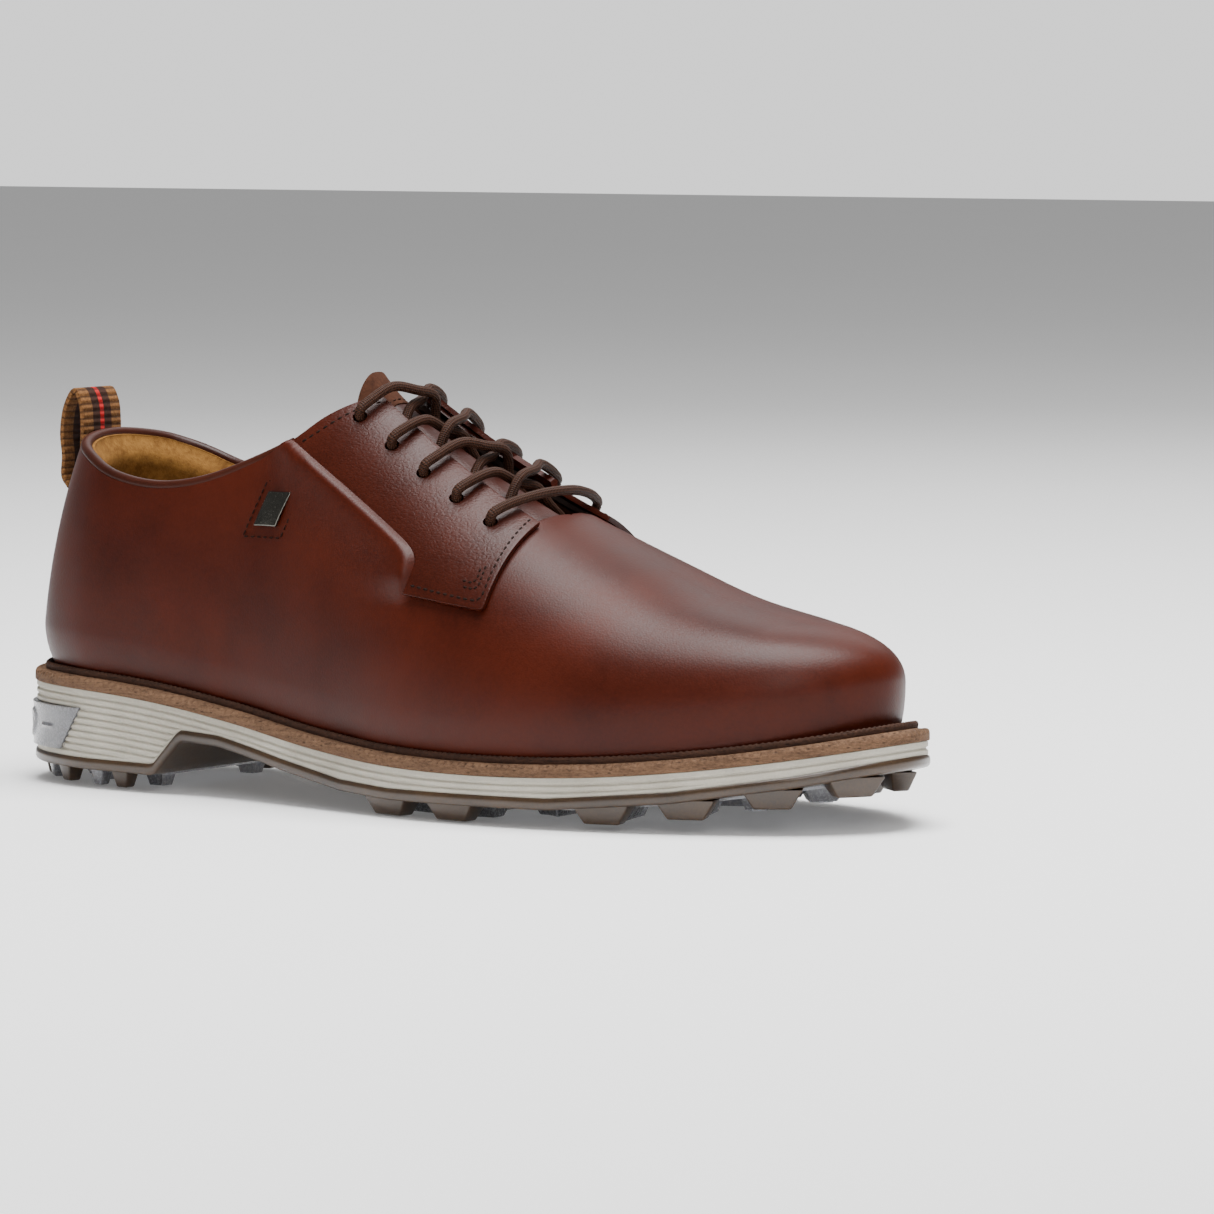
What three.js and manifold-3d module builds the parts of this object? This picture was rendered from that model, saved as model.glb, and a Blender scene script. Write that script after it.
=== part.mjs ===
// A leather lace-up golf shoe for the right foot, as its separate pieces.
// Millimetres. +X points to the toe, +Y to the inner (medial) side and +Z up.
import * as THREE from "three";
import { mergeVertices } from "three/addons/utils/BufferGeometryUtils.js";
import Module from "manifold-3d";

const wasm = await Module();
wasm.setup();

// ---- Driving dimensions -------------------------------------------------
const LONG = 1; // grades every place along the shoe, 1 for a sole of 299
const WIDE = 1; // and every place across the sole, 1 for a ball of 104
const graded = (list) => list.map(([x, v]) => [x * LONG, v]);
// Edge of the sole seen from above, from the heel along the outer side to the toe and back.
const SOLE_EDGE = [
  [0, 0], [3, -14], [13, -28], [32, -37], [60, -39.5], [95, -40], [130, -45.5],
  [165, -52], [198, -53], [230, -48], [260, -37.5], [281, -26], [293.5, -13], [299, 0], [298.5, 10],
  [293, 21], [282, 32], [265, 42.5], [240, 50], [208, 51], [174, 44.5], [140, 36.5],
  [105, 33.5], [65, 35.5], [33, 35], [13, 27], [3, 13],
].map(([x, y]) => [x * LONG, y * WIDE]);
// Heights along the shoe, each a list of [x, z].
const TREAD_Z = graded([[0, 5.6], [40, 5], [66, 4.8], [76, 15.2], [90, 14.4], [115, 9.6], [140, 5.6],
  [160, 4.6], [215, 5], [250, 8], [280, 12.6], [301, 17]]);
const WELT_Z = graded([[0, 28.8], [35, 28.2], [65, 26], [95, 21.6], [125, 17], [155, 14.2], [190, 13.4],
  [225, 14.4], [255, 17], [280, 20.4], [301, 24]]);
const SPINE_Z = graded([[45, 140], [80, 135], [110, 125], [124, 118], [150, 102], [170, 91], [187, 82.5],
  [210, 72], [235, 61.5], [262, 55]]);
const SPINE_Y = graded([[45, 0], [100, -1], [150, -2], [187, -1.5], [230, 0.5], [262, 3]]);
const HEEL_POLE_X = 45 * LONG; // the heel's ribs fan out from here
const TOE_POLE_X = 262 * LONG; // and the toe's from here
const HEEL_LEAN = 0.32; // how far the heel's back leans forwards as it rises, as a share of its reach
const HEEL_LEAN_FOOT = 0.12; // part of that lean already there at its foot
const TOE_SLOPE = -0.1; // the toe's top carries on down a little
const TOE_DRAW = 0.12; // how far the toe's front is drawn back over the wider welt, as a share
const TUCK_DEG = 22; // how far the upper tucks in below its widest line
const BULGE_H = 13; // height of the widest line above the welt

const RUBBER_T = 3.2; // outsole plate
const WELT_T = 3.4;
const RIB_T = 1.2; // storm rib that stands on the welt
const RIB_H = 2;
const CLEAR = 0.3; // gap between pieces that touch
const UPPER_INSET = 5.4; // from the sole's edge in to the foot of the upper
const WELT_REACH = 13; // width of the welt band
const LEATHER_T = 1.6;
const STIFFENER_T = 1.6; // heel counter, toe puff, collar foam and facing backer
const LINING_T = 1.2;
const FACING_LINING_T = 1;
const SOCK_T = 4.5;

const BALL_X = 205 * LONG; // where the sole flexes
const FLEX_DEG = 25;
const FLEX_SPARE_DEG = 1.5;

const RIDGE = graded([[110, 101.5], [164.5, 71.5], [163, 61.5]]); // seam at the back of the facings
const FACING_CORNER = [189.5 * LONG, 57.4]; // their lowest front corner
const TOPLINE = graded([[-10, 101], [14, 100.5], [30, 95], [46, 89], [62, 86.8], [78, 88.6], [94, 94],
  [110, 101.5], [119, 108.5], [127, 112.5], [140, 114.5]]);
const LACE_GAP = graded([[100, 6], [124, 9.5], [150, 12], [188, 16], [200, 16]]); // half width over x
const EYELETS = 5;
const EYELET_FIRST_X = 178 * LONG;
const EYELET_PITCH = 12.6 * LONG;
const EYELET_PHI_FIRST = 61; // round the section, in degrees from the widest line
const EYELET_PHI_LAST = 64;
const EYELET_R = 2.1;
const LACE_R = 1.4;

const TONGUE_DEPTH = LEATHER_T + CLEAR + FACING_LINING_T + 2 * LACE_R + 1.3; // below the upper's face
const TONGUE_T = 2;
const TONGUE_ROOT_X = 196 * LONG;
const TONGUE_TOP_X = 117 * LONG;
const TONGUE_BAND_X = 125 * LONG; // the soft band covers the tongue above here
const TONGUE_SPAN_DEG = 31;

const BINDING_R = 1.7;
const LOOP_W = 17;
const LOOP_T = 1.4;

// ---- Curves and solids --------------------------------------------------
const rad = THREE.MathUtils.degToRad;
const V = (x, y, z) => new THREE.Vector3(x, y, z);

// A smooth function through [x, value] knots, level beyond its ends.
function through(knots) {
  const slope = (i) => {
    const a = knots[Math.max(i - 1, 0)];
    const b = knots[Math.min(i + 1, knots.length - 1)];
    return (b[1] - a[1]) / (b[0] - a[0]);
  };
  return (x) => {
    if (x <= knots[0][0]) return knots[0][1];
    if (x >= knots.at(-1)[0]) return knots.at(-1)[1];
    const i = knots.findIndex((k) => k[0] > x) - 1;
    const [x0, y0] = knots[i];
    const [x1, y1] = knots[i + 1];
    const w = x1 - x0;
    const t = (x - x0) / w;
    return (
      (2 * t ** 3 - 3 * t ** 2 + 1) * y0 +
      (t ** 3 - 2 * t ** 2 + t) * w * slope(i) +
      (3 * t ** 2 - 2 * t ** 3) * y1 +
      (t ** 3 - t ** 2) * w * slope(i + 1)
    );
  };
}

// A function through [x, value] knots with straight lines between them.
function straight(knots) {
  return (x) => {
    if (x <= knots[0][0]) return knots[0][1];
    const i = knots.findIndex((k) => k[0] > x) - 1;
    if (i < 0) return knots.at(-1)[1];
    const t = (x - knots[i][0]) / (knots[i + 1][0] - knots[i][0]);
    return THREE.MathUtils.lerp(knots[i][1], knots[i + 1][1], t);
  };
}

const treadZ = straight(TREAD_Z);
const weltZ = through(WELT_Z);
const spineZ = through(SPINE_Z);
const spineY = through(SPINE_Y);
const laceGap = through(LACE_GAP);
const topline = through(TOPLINE);
const footZ = (x) => weltZ(x) + WELT_T + CLEAR;

const soleEdge = new THREE.CatmullRomCurve3(
  SOLE_EDGE.map(([x, y]) => V(x, y, 0)), true, "centripetal");
soleEdge.arcLengthDivisions = 1200;

// A point of the sole's edge, a share of the way round, moved inwards.
function edge(share, inset) {
  const a = ((share % 1) + 1) % 1;
  const t = soleEdge.getTangentAt(a);
  return soleEdge.getPointAt(a).add(V(-t.y, t.x, 0).multiplyScalar(inset));
}

// The share of the way round at which the inset edge has this x, on side -1 (outer) or 1 (inner).
function shareAt(side, x, inset) {
  let [low, high] = [0, 0.5];
  for (let i = 0; i < 26; i++) {
    const mid = (low + high) / 2;
    if (edge(side < 0 ? mid : 1 - mid, inset).x < x) low = mid;
    else high = mid;
  }
  return side < 0 ? low : 1 - low;
}

// A solid from a closed triangle mesh, with doubled corners and empty triangles dropped.
function solid(geometry) {
  const bare = new THREE.BufferGeometry();
  bare.setAttribute("position", geometry.getAttribute("position"));
  bare.setIndex(geometry.getIndex());
  const merged = mergeVertices(bare, 1e-4);
  const index = merged.index.array;
  const kept = [];
  for (let i = 0; i < index.length; i += 3) {
    const [a, b, c] = index.slice(i, i + 3);
    if (a !== b && b !== c && a !== c) kept.push(a, b, c);
  }
  const mesh = new wasm.Mesh({
    numProp: 3,
    vertProperties: merged.attributes.position.array,
    triVerts: new Uint32Array(kept),
  });
  const made = new wasm.Manifold(mesh);
  if (made.volume() > 0) return made;
  for (let i = 0; i < kept.length; i += 3) [kept[i], kept[i + 1]] = [kept[i + 1], kept[i]];
  return new wasm.Manifold(
    new wasm.Mesh({ numProp: 3, vertProperties: mesh.vertProperties, triVerts: new Uint32Array(kept) }));
}

// Closed loops of points of equal length, joined in order. The ends are capped, or joined up.
function loft(loops, ring = false) {
  const points = loops.flat();
  const n = loops[0].length;
  const faces = [];
  const last = ring ? loops.length : loops.length - 1;
  for (let i = 0; i < last; i++) {
    const p = i * n;
    const q = ((i + 1) % loops.length) * n;
    for (let j = 0; j < n; j++) {
      const k = (j + 1) % n;
      faces.push(p + j, q + j, q + k, p + j, q + k, p + k);
    }
  }
  if (!ring) {
    const flat = (loop) => {
      const normal = V(0, 0, 0);
      loop.forEach((a, i) => normal.add(a.clone().cross(loop[(i + 1) % n])));
      const x = loop[1].clone().sub(loop[0]).normalize();
      const y = normal.normalize().clone().cross(x);
      return THREE.ShapeUtils.triangulateShape(
        loop.map((a) => new THREE.Vector2(a.dot(x), a.dot(y))), []);
    };
    flat(loops[0]).forEach(([a, b, c]) => faces.push(a, b, c));
    const start = (loops.length - 1) * n;
    flat(loops.at(-1)).forEach(([a, b, c]) => faces.push(start + a, start + c, start + b));
  }
  const geometry = new THREE.BufferGeometry().setFromPoints(points);
  geometry.setIndex(faces);
  return solid(geometry);
}

// A prism of a side view outline of [x, z] points, between two values of y.
function sidePrism(outline, yLow, yHigh) {
  const shape = new THREE.Shape(outline.map(([x, z]) => new THREE.Vector2(x, z)));
  const g = new THREE.ExtrudeGeometry(shape, { depth: yHigh - yLow, bevelEnabled: false });
  g.rotateX(Math.PI / 2).translate(0, yHigh, 0);
  return solid(g);
}

// A prism of a plan outline of [x, y] points, between two heights.
function planPrism(outline, zLow, zHigh) {
  const shape = new THREE.Shape(outline.map(([x, y]) => new THREE.Vector2(x, y)));
  const g = new THREE.ExtrudeGeometry(shape, { depth: zHigh - zLow, bevelEnabled: false });
  return solid(g.translate(0, 0, zLow));
}

// Stations along the shoe, closer together at its round ends.
function stations(low, high, count, extra = []) {
  const even = Array.from({ length: count + 1 },
    (_, i) => low + ((high - low) * (1 - Math.cos((Math.PI * i) / count))) / 2);
  return [...even, ...extra].sort((a, b) => a - b)
    .filter((x, i, all) => i === 0 || x - all[i - 1] > 0.4);
}

// A layer of the sole between two heights that follow x, inset from the sole's edge.
function slab(inset, bottom, top, from = -1, to = 400, extra = [], draw = 0) {
  const low = Math.max(edge(0, inset).x + 0.05, from);
  const tip = soleTip(inset);
  const high = Math.min(tip - 0.05, to);
  const marks = [...TREAD_Z.map(([x]) => x), ...extra].filter((x) => x > low && x < high);
  return loft(stations(low, high, 20, marks).map((x) => {
    const a = edge(shareAt(-1, x, inset), inset).y;
    const b = edge(shareAt(1, x, inset), inset).y;
    const wide = Math.max(b - a, 0.4);
    const mid = (a + b) / 2;
    const at = Math.min(x, TOE_POLE_X) + Math.max(x - TOE_POLE_X, 0) * (1 - draw);
    return [[-1, bottom], [1, bottom], [1, top], [-1, top]].map(
      ([side, z]) => V(at, mid + (side * wide) / 2, z(at)));
  }));
}

// The furthest x of the inset edge.
function soleTip(inset) {
  let best = 0;
  for (let i = 0; i <= 200; i++) best = Math.max(best, edge(0.4 + i / 1000, inset).x);
  return best;
}

// A band round the sole's edge. Its section is a list of [inset, height above a base line].
function band(section, base, count = 76) {
  const loops = Array.from({ length: count }, (_, i) =>
    section.map(([inset, up]) => {
      const p = edge(i / count, inset);
      return V(p.x, p.y, base(p.x) + up);
    }));
  return loft(loops, true);
}

// ---- The last: the outer surface of the upper ---------------------------
const power = through([[0, 1.2], [60, 1.12], [110, 1.0], [190, 0.96], [262, 0.7]]);

// A point of the surface, a share round the sole and phi round the section, 90 at the spine.
function rawSkin(share, phi) {
  const base = edge(share, UPPER_INSET);
  const x = THREE.MathUtils.clamp(base.x, HEEL_POLE_X, TOE_POLE_X);
  const spine = V(x, spineY(x), 0);
  const reach = Math.max(Math.cos(phi), 0) ** power(x) / Math.cos(rad(TUCK_DEG)) ** power(x);
  const p = spine.lerp(V(base.x, base.y, 0), reach);
  const foot = footZ(base.x);
  const wide = foot + BULGE_H;
  p.z = phi > 0
    ? wide + (spineZ(x) - wide) * Math.sin(phi)
    : wide + (BULGE_H * Math.sin(phi)) / Math.sin(rad(TUCK_DEG));
  const up = Math.max(Math.sin(phi), 0);
  if (base.x > TOE_POLE_X) p.x = x + (p.x - x) * (1 - TOE_DRAW);
  if (base.x < HEEL_POLE_X) p.x = x + (p.x - x) * (1 - HEEL_LEAN * (HEEL_LEAN_FOOT + up));
  p.z += TOE_SLOPE * Math.max(p.x - TOE_POLE_X, 0) * up ** 1.5;
  return p;
}

// The surface's outward normal.
function skinNormal(share, phi) {
  const top = rad(89);
  const at = Math.min(phi, top);
  const step = 1e-3;
  const along = rawSkin(share + step, at).sub(rawSkin(share - step, at));
  const up = rawSkin(share, at + step).sub(rawSkin(share, at - step));
  const n = along.cross(up).normalize();
  if (phi > top) n.y = 0;
  return n.normalize();
}

// The spine, shared by both sides, moved inwards by a depth.
function spineSkin(x, depth) {
  const n = V(-(spineZ(x + 1) - spineZ(x - 1)) / 2, 0, 1).normalize();
  return V(x, spineY(x), spineZ(x)).sub(n.multiplyScalar(depth));
}

// The surface moved inwards by a depth.
function skin(share, phi, depth) {
  if (phi >= rad(89.99)) {
    const x = edge(share, UPPER_INSET).x;
    return spineSkin(THREE.MathUtils.clamp(x, HEEL_POLE_X, TOE_POLE_X), depth);
  }
  return rawSkin(share, phi).sub(skinNormal(share, phi).multiplyScalar(depth));
}

// The same surface by side, x and phi in degrees.
function sideSkin(side, x, phiDeg, depth) {
  return skin(shareAt(side, x, UPPER_INSET), rad(phiDeg), depth);
}

// A solid filled to the surface at a depth. drop lowers its underside, for use as a cutter.
function last(depth, drop = 0) {
  const fan = 5;
  const run = 14;
  const rows = [-TUCK_DEG, -9, 6, 22, 38, 54, 68, 80, 90];
  const heel = shareAt(-1, HEEL_POLE_X, UPPER_INSET);
  const toe = shareAt(-1, TOE_POLE_X, UPPER_INSET);
  const heelIn = shareAt(1, HEEL_POLE_X, UPPER_INSET) - 1;
  const toeIn = shareAt(1, TOE_POLE_X, UPPER_INSET);
  const ribsAt = []; // each rib's share round the sole and its place on the spine
  for (let i = 0; i < fan * 2; i++) {
    ribsAt.push([heelIn + ((heel - heelIn) * i) / (fan * 2), HEEL_POLE_X]);
  }
  const xs = Array.from({ length: run + 1 },
    (_, i) => HEEL_POLE_X + ((TOE_POLE_X - HEEL_POLE_X) * i) / run);
  xs.slice(0, -1).forEach((x) => ribsAt.push([shareAt(-1, x, UPPER_INSET), x]));
  for (let i = 0; i < fan * 2; i++) {
    ribsAt.push([toe + ((toeIn - toe) * i) / (fan * 2), TOE_POLE_X]);
  }
  xs.slice(1).reverse().forEach((x) => ribsAt.push([shareAt(1, x, UPPER_INSET), x]));
  const ribs = ribsAt.map(([share, x]) => {
    const surface = rows.map((phi) => skin(share, rad(phi), depth));
    surface[rows.length - 1] = spineSkin(x, depth);
    const foot = footZ(edge(share, UPPER_INSET).x);
    surface[0].z = foot;
    const low = surface[0].clone().setZ(foot - drop);
    const centre = V(x, spineY(x), footZ(x) - drop);
    return [...(drop > 0 ? [centre, low] : [centre]), ...surface];
  });
  const n = ribs[0].length;
  const faces = [];
  ribs.forEach((_, i) => {
    const p = i * n;
    const q = ((i + 1) % ribs.length) * n;
    for (let j = 0; j < n - 1; j++) faces.push(p + j, q + j, q + j + 1, p + j, q + j + 1, p + j + 1);
  });
  const geometry = new THREE.BufferGeometry().setFromPoints(ribs.flat());
  geometry.setIndex(faces);
  return solid(geometry);
}

// A layer of the upper between two depths.
const layer = (outer, inner) => last(outer).subtract(last(inner, 6));

// ---- Regions, as cutters ------------------------------------------------
const FAR = 200;
const above = (line) => sidePrism([...line, [400, line.at(-1)[1]], [400, 300], [-60, 300],
  [-60, line[0][1]]], -FAR, FAR);

// What lies above the topline, lowered by a margin.
function aboveTopline(margin) {
  const xs = Array.from({ length: 31 }, (_, i) => -10 + i * 5);
  return above(xs.map((x) => [x, topline(x) - margin]));
}

// The side view of the facings, grown by a margin, on one side of the shoe.
function facingRegion(side, grow) {
  const outline = [
    [RIDGE[0][0] - grow, 160], [RIDGE[0][0] - grow, RIDGE[0][1]],
    [RIDGE[1][0] - grow, RIDGE[1][1] - grow], [RIDGE[2][0] - grow, RIDGE[2][1] - grow],
    [FACING_CORNER[0] + grow, FACING_CORNER[1] - grow], [FACING_CORNER[0] + grow, 160],
  ];
  return side < 0 ? sidePrism(outline, -FAR, 0) : sidePrism(outline, 0, FAR);
}

// The gap between the two facings, widened by a margin.
function laceSlot(margin, from = 60, to = 240) {
  const xs = [from, 124, 150, 188, to];
  const line = (side) => xs.map((x) => [x, spineY(x) + side * (laceGap(x) + margin)]);
  return planPrism([...line(-1), ...line(1).reverse()], 40, 200);
}

// ---- The flex line ------------------------------------------------------
const FLEX_Z = weltZ(BALL_X) + WELT_T; // the hinge lies at the top of the welt
const opened = Math.tan(rad(FLEX_DEG + FLEX_SPARE_DEG)) * 200;
const halfGap = CLEAR / 2;
const behindBall = sidePrism([[-60, -50], [BALL_X - halfGap, -50], [BALL_X - halfGap, 250],
  [-60, 250]], -FAR, FAR);
const beforeBall = sidePrism([[BALL_X + halfGap, -50], [400, -50], [400, 250],
  [BALL_X + halfGap + opened, FLEX_Z + 200], [BALL_X + halfGap, FLEX_Z]], -FAR, FAR);
const ballWedge = sidePrism([[BALL_X + halfGap, FLEX_Z + 2], [BALL_X + opened - halfGap, FLEX_Z + 200],
  [BALL_X + halfGap, FLEX_Z + 200]], -FAR, FAR);

// ---- Materials ----------------------------------------------------------
const paint = (color, roughness, metalness = 0, opacity = 1) =>
  new THREE.MeshStandardMaterial({ color, roughness, metalness, opacity, transparent: opacity < 1 });
const leather = paint(0x5c2412, 0.42);
const facingLeather = paint(0x56200f, 0.45);
const nubuck = paint(0x5f3520, 0.9);
const microfibre = paint(0xa8762f, 0.95);
const weltMaterial = paint(0x7a4d2a, 0.85);
const foam = paint(0xb9b3a4, 0.7);
const padding = paint(0xd8c9a0, 0.95);
const gum = paint(0x5e3d12, 0.5);
const clearTpu = paint(0x8f9095, 0.35);
const board = paint(0xb89c72, 0.9);
const stiffener = paint(0xd9d5c8, 0.8);
const steel = paint(0x9a9da0, 0.35, 1);
const badgeMetal = paint(0x3a3a2e, 0.25, 1);
const cord = paint(0x3c2216, 0.8);
const webbing = paint(0x7a4a1c, 0.9);

const shoe = new THREE.Group();
shoe.name = "golf_shoe";

const FLAT = 0.06; // corners that stand less than this off their surroundings are left out
function add(name, made, material) {
  const m = made.simplify(FLAT).getMesh();
  const geometry = new THREE.BufferGeometry();
  geometry.setAttribute("position", new THREE.BufferAttribute(m.vertProperties, 3));
  geometry.setIndex(new THREE.BufferAttribute(m.triVerts, 1));
  geometry.computeVertexNormals();
  const mesh = new THREE.Mesh(geometry, material);
  mesh.name = name;
  shoe.add(mesh);
}

// The largest of a solid's separate bodies, without the crumbs that a cut leaves.
function main(made) {
  const parts = made.decompose().sort((a, b) => b.volume() - a.volume());
  return parts[0];
}

// Adds a piece that crosses the ball as its rear and front halves.
function addSplit(name, made, material) {
  add(`${name}_rear`, main(made.intersect(behindBall)), material);
  add(`${name}_front`, main(made.intersect(beforeBall)), material);
}

// ---- Sole ---------------------------------------------------------------
const BREAST_X = [66, 76];
const splits = [BALL_X - 0.6, BALL_X + 0.6];

// A tapered stud under the sole: a polygon at its root and a smaller one at its foot.
function stud(x, y, length, width, turnDeg, sides, rootZ, footZ2) {
  const ring = (scale, z) => Array.from({ length: sides }, (_, i) => {
    const a = (2 * Math.PI * (i + 0.5)) / sides;
    const p = new THREE.Vector2(Math.cos(a) * length, Math.sin(a) * width)
      .multiplyScalar(scale / 2 / Math.cos(Math.PI / sides))
      .rotateAround(new THREE.Vector2(0, 0), rad(turnDeg));
    return V(x + p.x, y + p.y, z);
  });
  return loft([ring(1, rootZ), ring(0.62, footZ2)].reverse());
}

// Height of a stud's foot: on the ground, and lifted with the sole at the toe.
const studFoot = (x) => (x < BREAST_X[1] ? 0 : Math.max(0, treadZ(x) - 4.9));

// Studs in rows that follow the sole's edge: [inset, first share, last share, count, sizes].
function studRow(inset, from, to, count, length, width, sides, sink) {
  return Array.from({ length: count }, (_, i) => {
    const share = from + ((to - from) * i) / Math.max(count - 1, 1);
    const p = edge(share, inset);
    const t = soleEdge.getTangentAt(((share % 1) + 1) % 1);
    const turn = THREE.MathUtils.radToDeg(Math.atan2(t.y, t.x));
    return { x: p.x, solid: stud(p.x, p.y, length, width, turn, sides,
      treadZ(p.x) + sink, studFoot(p.x)) };
  });
}

const clearOfBall = (s) => Math.abs(s.x - BALL_X) > 6.5;
const clearOfArch = (s) => s.x < BREAST_X[0] - 5 || s.x > 146;
const OUTER = 0.17; // share round the sole where the outer forefoot begins

function buildOutsole() {
  const plate = slab(0, treadZ, (x) => treadZ(x) + RUBBER_T, -1, 400, splits);
  const rubberStuds = [
    ...studRow(6, 0.225, 0.475, 8, 10, 6.5, 4, 1),
    ...studRow(6, 0.555, 0.765, 8, 9, 6.5, 4, 1),
    ...studRow(6, 0.03, 0.105, 3, 6.5, 6, 4, 1),
    ...studRow(6, 0.895, 0.97, 3, 6.5, 6, 4, 1),
  ].filter(clearOfBall).filter(clearOfArch);
  return rubberStuds.reduce((all, s) => all.add(s.solid), plate);
}

const PAD_T = 0.8; // clear plates under the outsole that carry the harder studs
function clearPlate(from, to, inset) {
  const plate = slab(inset, (x) => treadZ(x) - PAD_T - CLEAR, (x) => treadZ(x) - CLEAR, from, to);
  const rows = [
    ...studRow(17, 0.225, 0.465, 8, 9, 7, 5, 1),
    ...studRow(17, 0.55, 0.765, 7, 9, 7, 5, 1),
    ...studRow(32, 0.245, 0.44, 6, 9, 9, 3, 1),
    ...studRow(36, 0.585, 0.735, 5, 9, 9, 3, 1),
    ...studRow(17, 0.02, 0.11, 3, 8, 6.5, 4, 1),
    ...studRow(17, 0.89, 0.98, 3, 8, 6.5, 4, 1),
  ].filter((s) => s.x > from + 5 && s.x < to - 5).filter(clearOfBall).filter(clearOfArch);
  const tread = TREAD_Z.map(([x, z]) => [x, z - CLEAR]).reverse();
  const below = sidePrism([[0, -5], [301, -5], ...tread], -FAR, FAR);
  return rows.reduce((all, s) => all.add(s.solid.intersect(below)), plate);
}

addSplit("outsole", buildOutsole(), gum);
add("stud_plate_heel", main(clearPlate(10, 62, 12.5)), clearTpu);
add("stud_plate_ball", main(clearPlate(150, BALL_X - 1, 12.5)), clearTpu);
add("stud_plate_toe", main(clearPlate(BALL_X + 1, 288, 12.5)), clearTpu);

const CLIP_Z = [10.2, 22.6]; // the clear clip round the heel
const CLIP_T = 2.6;
const CLIP_SHARE = 0.079;
function heelClip(grow) {
  const count = 16;
  const shares = Array.from({ length: count + 1 },
    (_, i) => -CLIP_SHARE - grow / 700 + (2 * (CLIP_SHARE + grow / 700) * i) / count);
  return loft(shares.map((share, i) => {
    const end = i === 0 || i === count ? 1.5 : 0;
    const [low, high] = [CLIP_Z[0] - grow + end, CLIP_Z[1] + grow - end];
    const mid = (low + high) / 2;
    const profile = [[-0.1 - grow, low], [0.9 - grow * 2, mid], [-0.1 - grow, high],
      [CLIP_T + grow, high], [CLIP_T + grow, low]];
    return profile.map(([inset, z]) => {
      const p = edge(share, inset);
      return V(p.x, p.y, z);
    });
  }));
}

const SHANK_X = [52, 146];
const SHANK_W = 15;
const SHANK_T = 1.5;
function shankBar(grow) {
  return loft(stations(SHANK_X[0] - grow, SHANK_X[1] + grow, 10).map((x) => {
    const w = SHANK_W / 2 + grow;
    const top = weltZ(x) - CLEAR + (grow ? 3 : -0.1);
    const low = weltZ(x) - CLEAR - 0.1 - SHANK_T - grow;
    const y = spineY(x) - 1;
    return [V(x, y - w, low), V(x, y + w, low), V(x, y + w, top), V(x, y - w, top)];
  }));
}

const midsole = slab(0.4, (x) => treadZ(x) + RUBBER_T + CLEAR, (x) => weltZ(x) - CLEAR, -1, 400,
  splits)
  .subtract(heelClip(CLEAR)).subtract(shankBar(CLEAR));
addSplit("midsole", midsole, foam);
add("heel_clip", main(heelClip(0)), clearTpu);
add("shank", shankBar(0), steel);

const rib = UPPER_INSET - RIB_T - 1.1;
const welt = band([[0, 0], [0, WELT_T], [rib, WELT_T], [rib, WELT_T + RIB_H],
  [rib + RIB_T, WELT_T + RIB_H], [rib + RIB_T, WELT_T], [WELT_REACH, WELT_T], [WELT_REACH, 0]], weltZ);
addSplit("welt", welt, weltMaterial);

const BOARD_INSET = WELT_REACH + CLEAR;
addSplit("insole_board", slab(BOARD_INSET, weltZ, (x) => footZ(x) - 0.05, -1, 400, splits,
  TOE_DRAW), board);
const SOCK_INSET = UPPER_INSET + LEATHER_T + STIFFENER_T + LINING_T + 3 * CLEAR + 0.7 + 0.6;
addSplit("sock_liner", slab(SOCK_INSET, (x) => footZ(x) + CLEAR, (x) => footZ(x) + CLEAR + SOCK_T,
  -1, 400, splits, TOE_DRAW), microfibre);

// ---- Upper --------------------------------------------------------------
const d1 = LEATHER_T; // inner face of the outer leather
const d2 = d1 + CLEAR; // outer face of the stiffeners
const d3 = d2 + STIFFENER_T;
const d4 = d3 + CLEAR; // outer face of the lining
const d5 = d4 + LINING_T;

const UNDERLAP = 9; // how far the leather runs on under the facings
function underFacings(side) {
  const g = UNDERLAP;
  const outline = [
    [RIDGE[0][0] + g, 170], [RIDGE[0][0] + g, RIDGE[0][1] + 3], [RIDGE[2][0] - 2, RIDGE[2][1] + g],
    [FACING_CORNER[0] - 16, FACING_CORNER[1] + g + 2], [FACING_CORNER[0] - 4, FACING_CORNER[1] + 20],
    [FACING_CORNER[0] - 2, 170],
  ];
  return side < 0 ? sidePrism(outline, -FAR, 0.05) : sidePrism(outline, -0.05, FAR);
}

const openTop = aboveTopline(0);
const leatherShell = layer(0, d1).subtract(openTop)
  .subtract(underFacings(-1)).subtract(underFacings(1));
add("quarters", main(leatherShell.intersect(behindBall)), leather);
add("vamp_flex_panel", main(leatherShell.intersect(ballWedge)), leather);
add("vamp", main(leatherShell.intersect(beforeBall)), leather);

const boxOf = (x0, x1, z0, z1) => sidePrism([[x0, z0], [x1, z0], [x1, z1], [x0, z1]], -FAR, FAR);
const innerLayer = layer(d2, d3);
const COUNTER_TOP = 72;
add("heel_counter", main(innerLayer.intersect(boxOf(-20, 84, 0, COUNTER_TOP))), stiffener);
add("collar_foam", main(innerLayer.intersect(boxOf(-20, RIDGE[0][0] - 4, COUNTER_TOP + CLEAR, 200))
  .subtract(aboveTopline(1.5))), padding);
add("toe_puff", main(innerLayer.intersect(boxOf(248, 400, 0, 200))), stiffener);

const liningShell = layer(d4, d5).subtract(openTop)
  .subtract(underFacings(-1)).subtract(underFacings(1));
add("lining_rear", main(liningShell.intersect(behindBall)), microfibre);
add("lining_flex_panel", main(liningShell.intersect(ballWedge)), microfibre);
add("lining_front", main(liningShell.intersect(beforeBall)), microfibre);

// Eyelet k of a side, counted from the toe.
function eyelet(k) {
  return {
    x: EYELET_FIRST_X - EYELET_PITCH * k,
    phi: THREE.MathUtils.lerp(EYELET_PHI_FIRST, EYELET_PHI_LAST, k / (EYELETS - 1)),
  };
}

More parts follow.
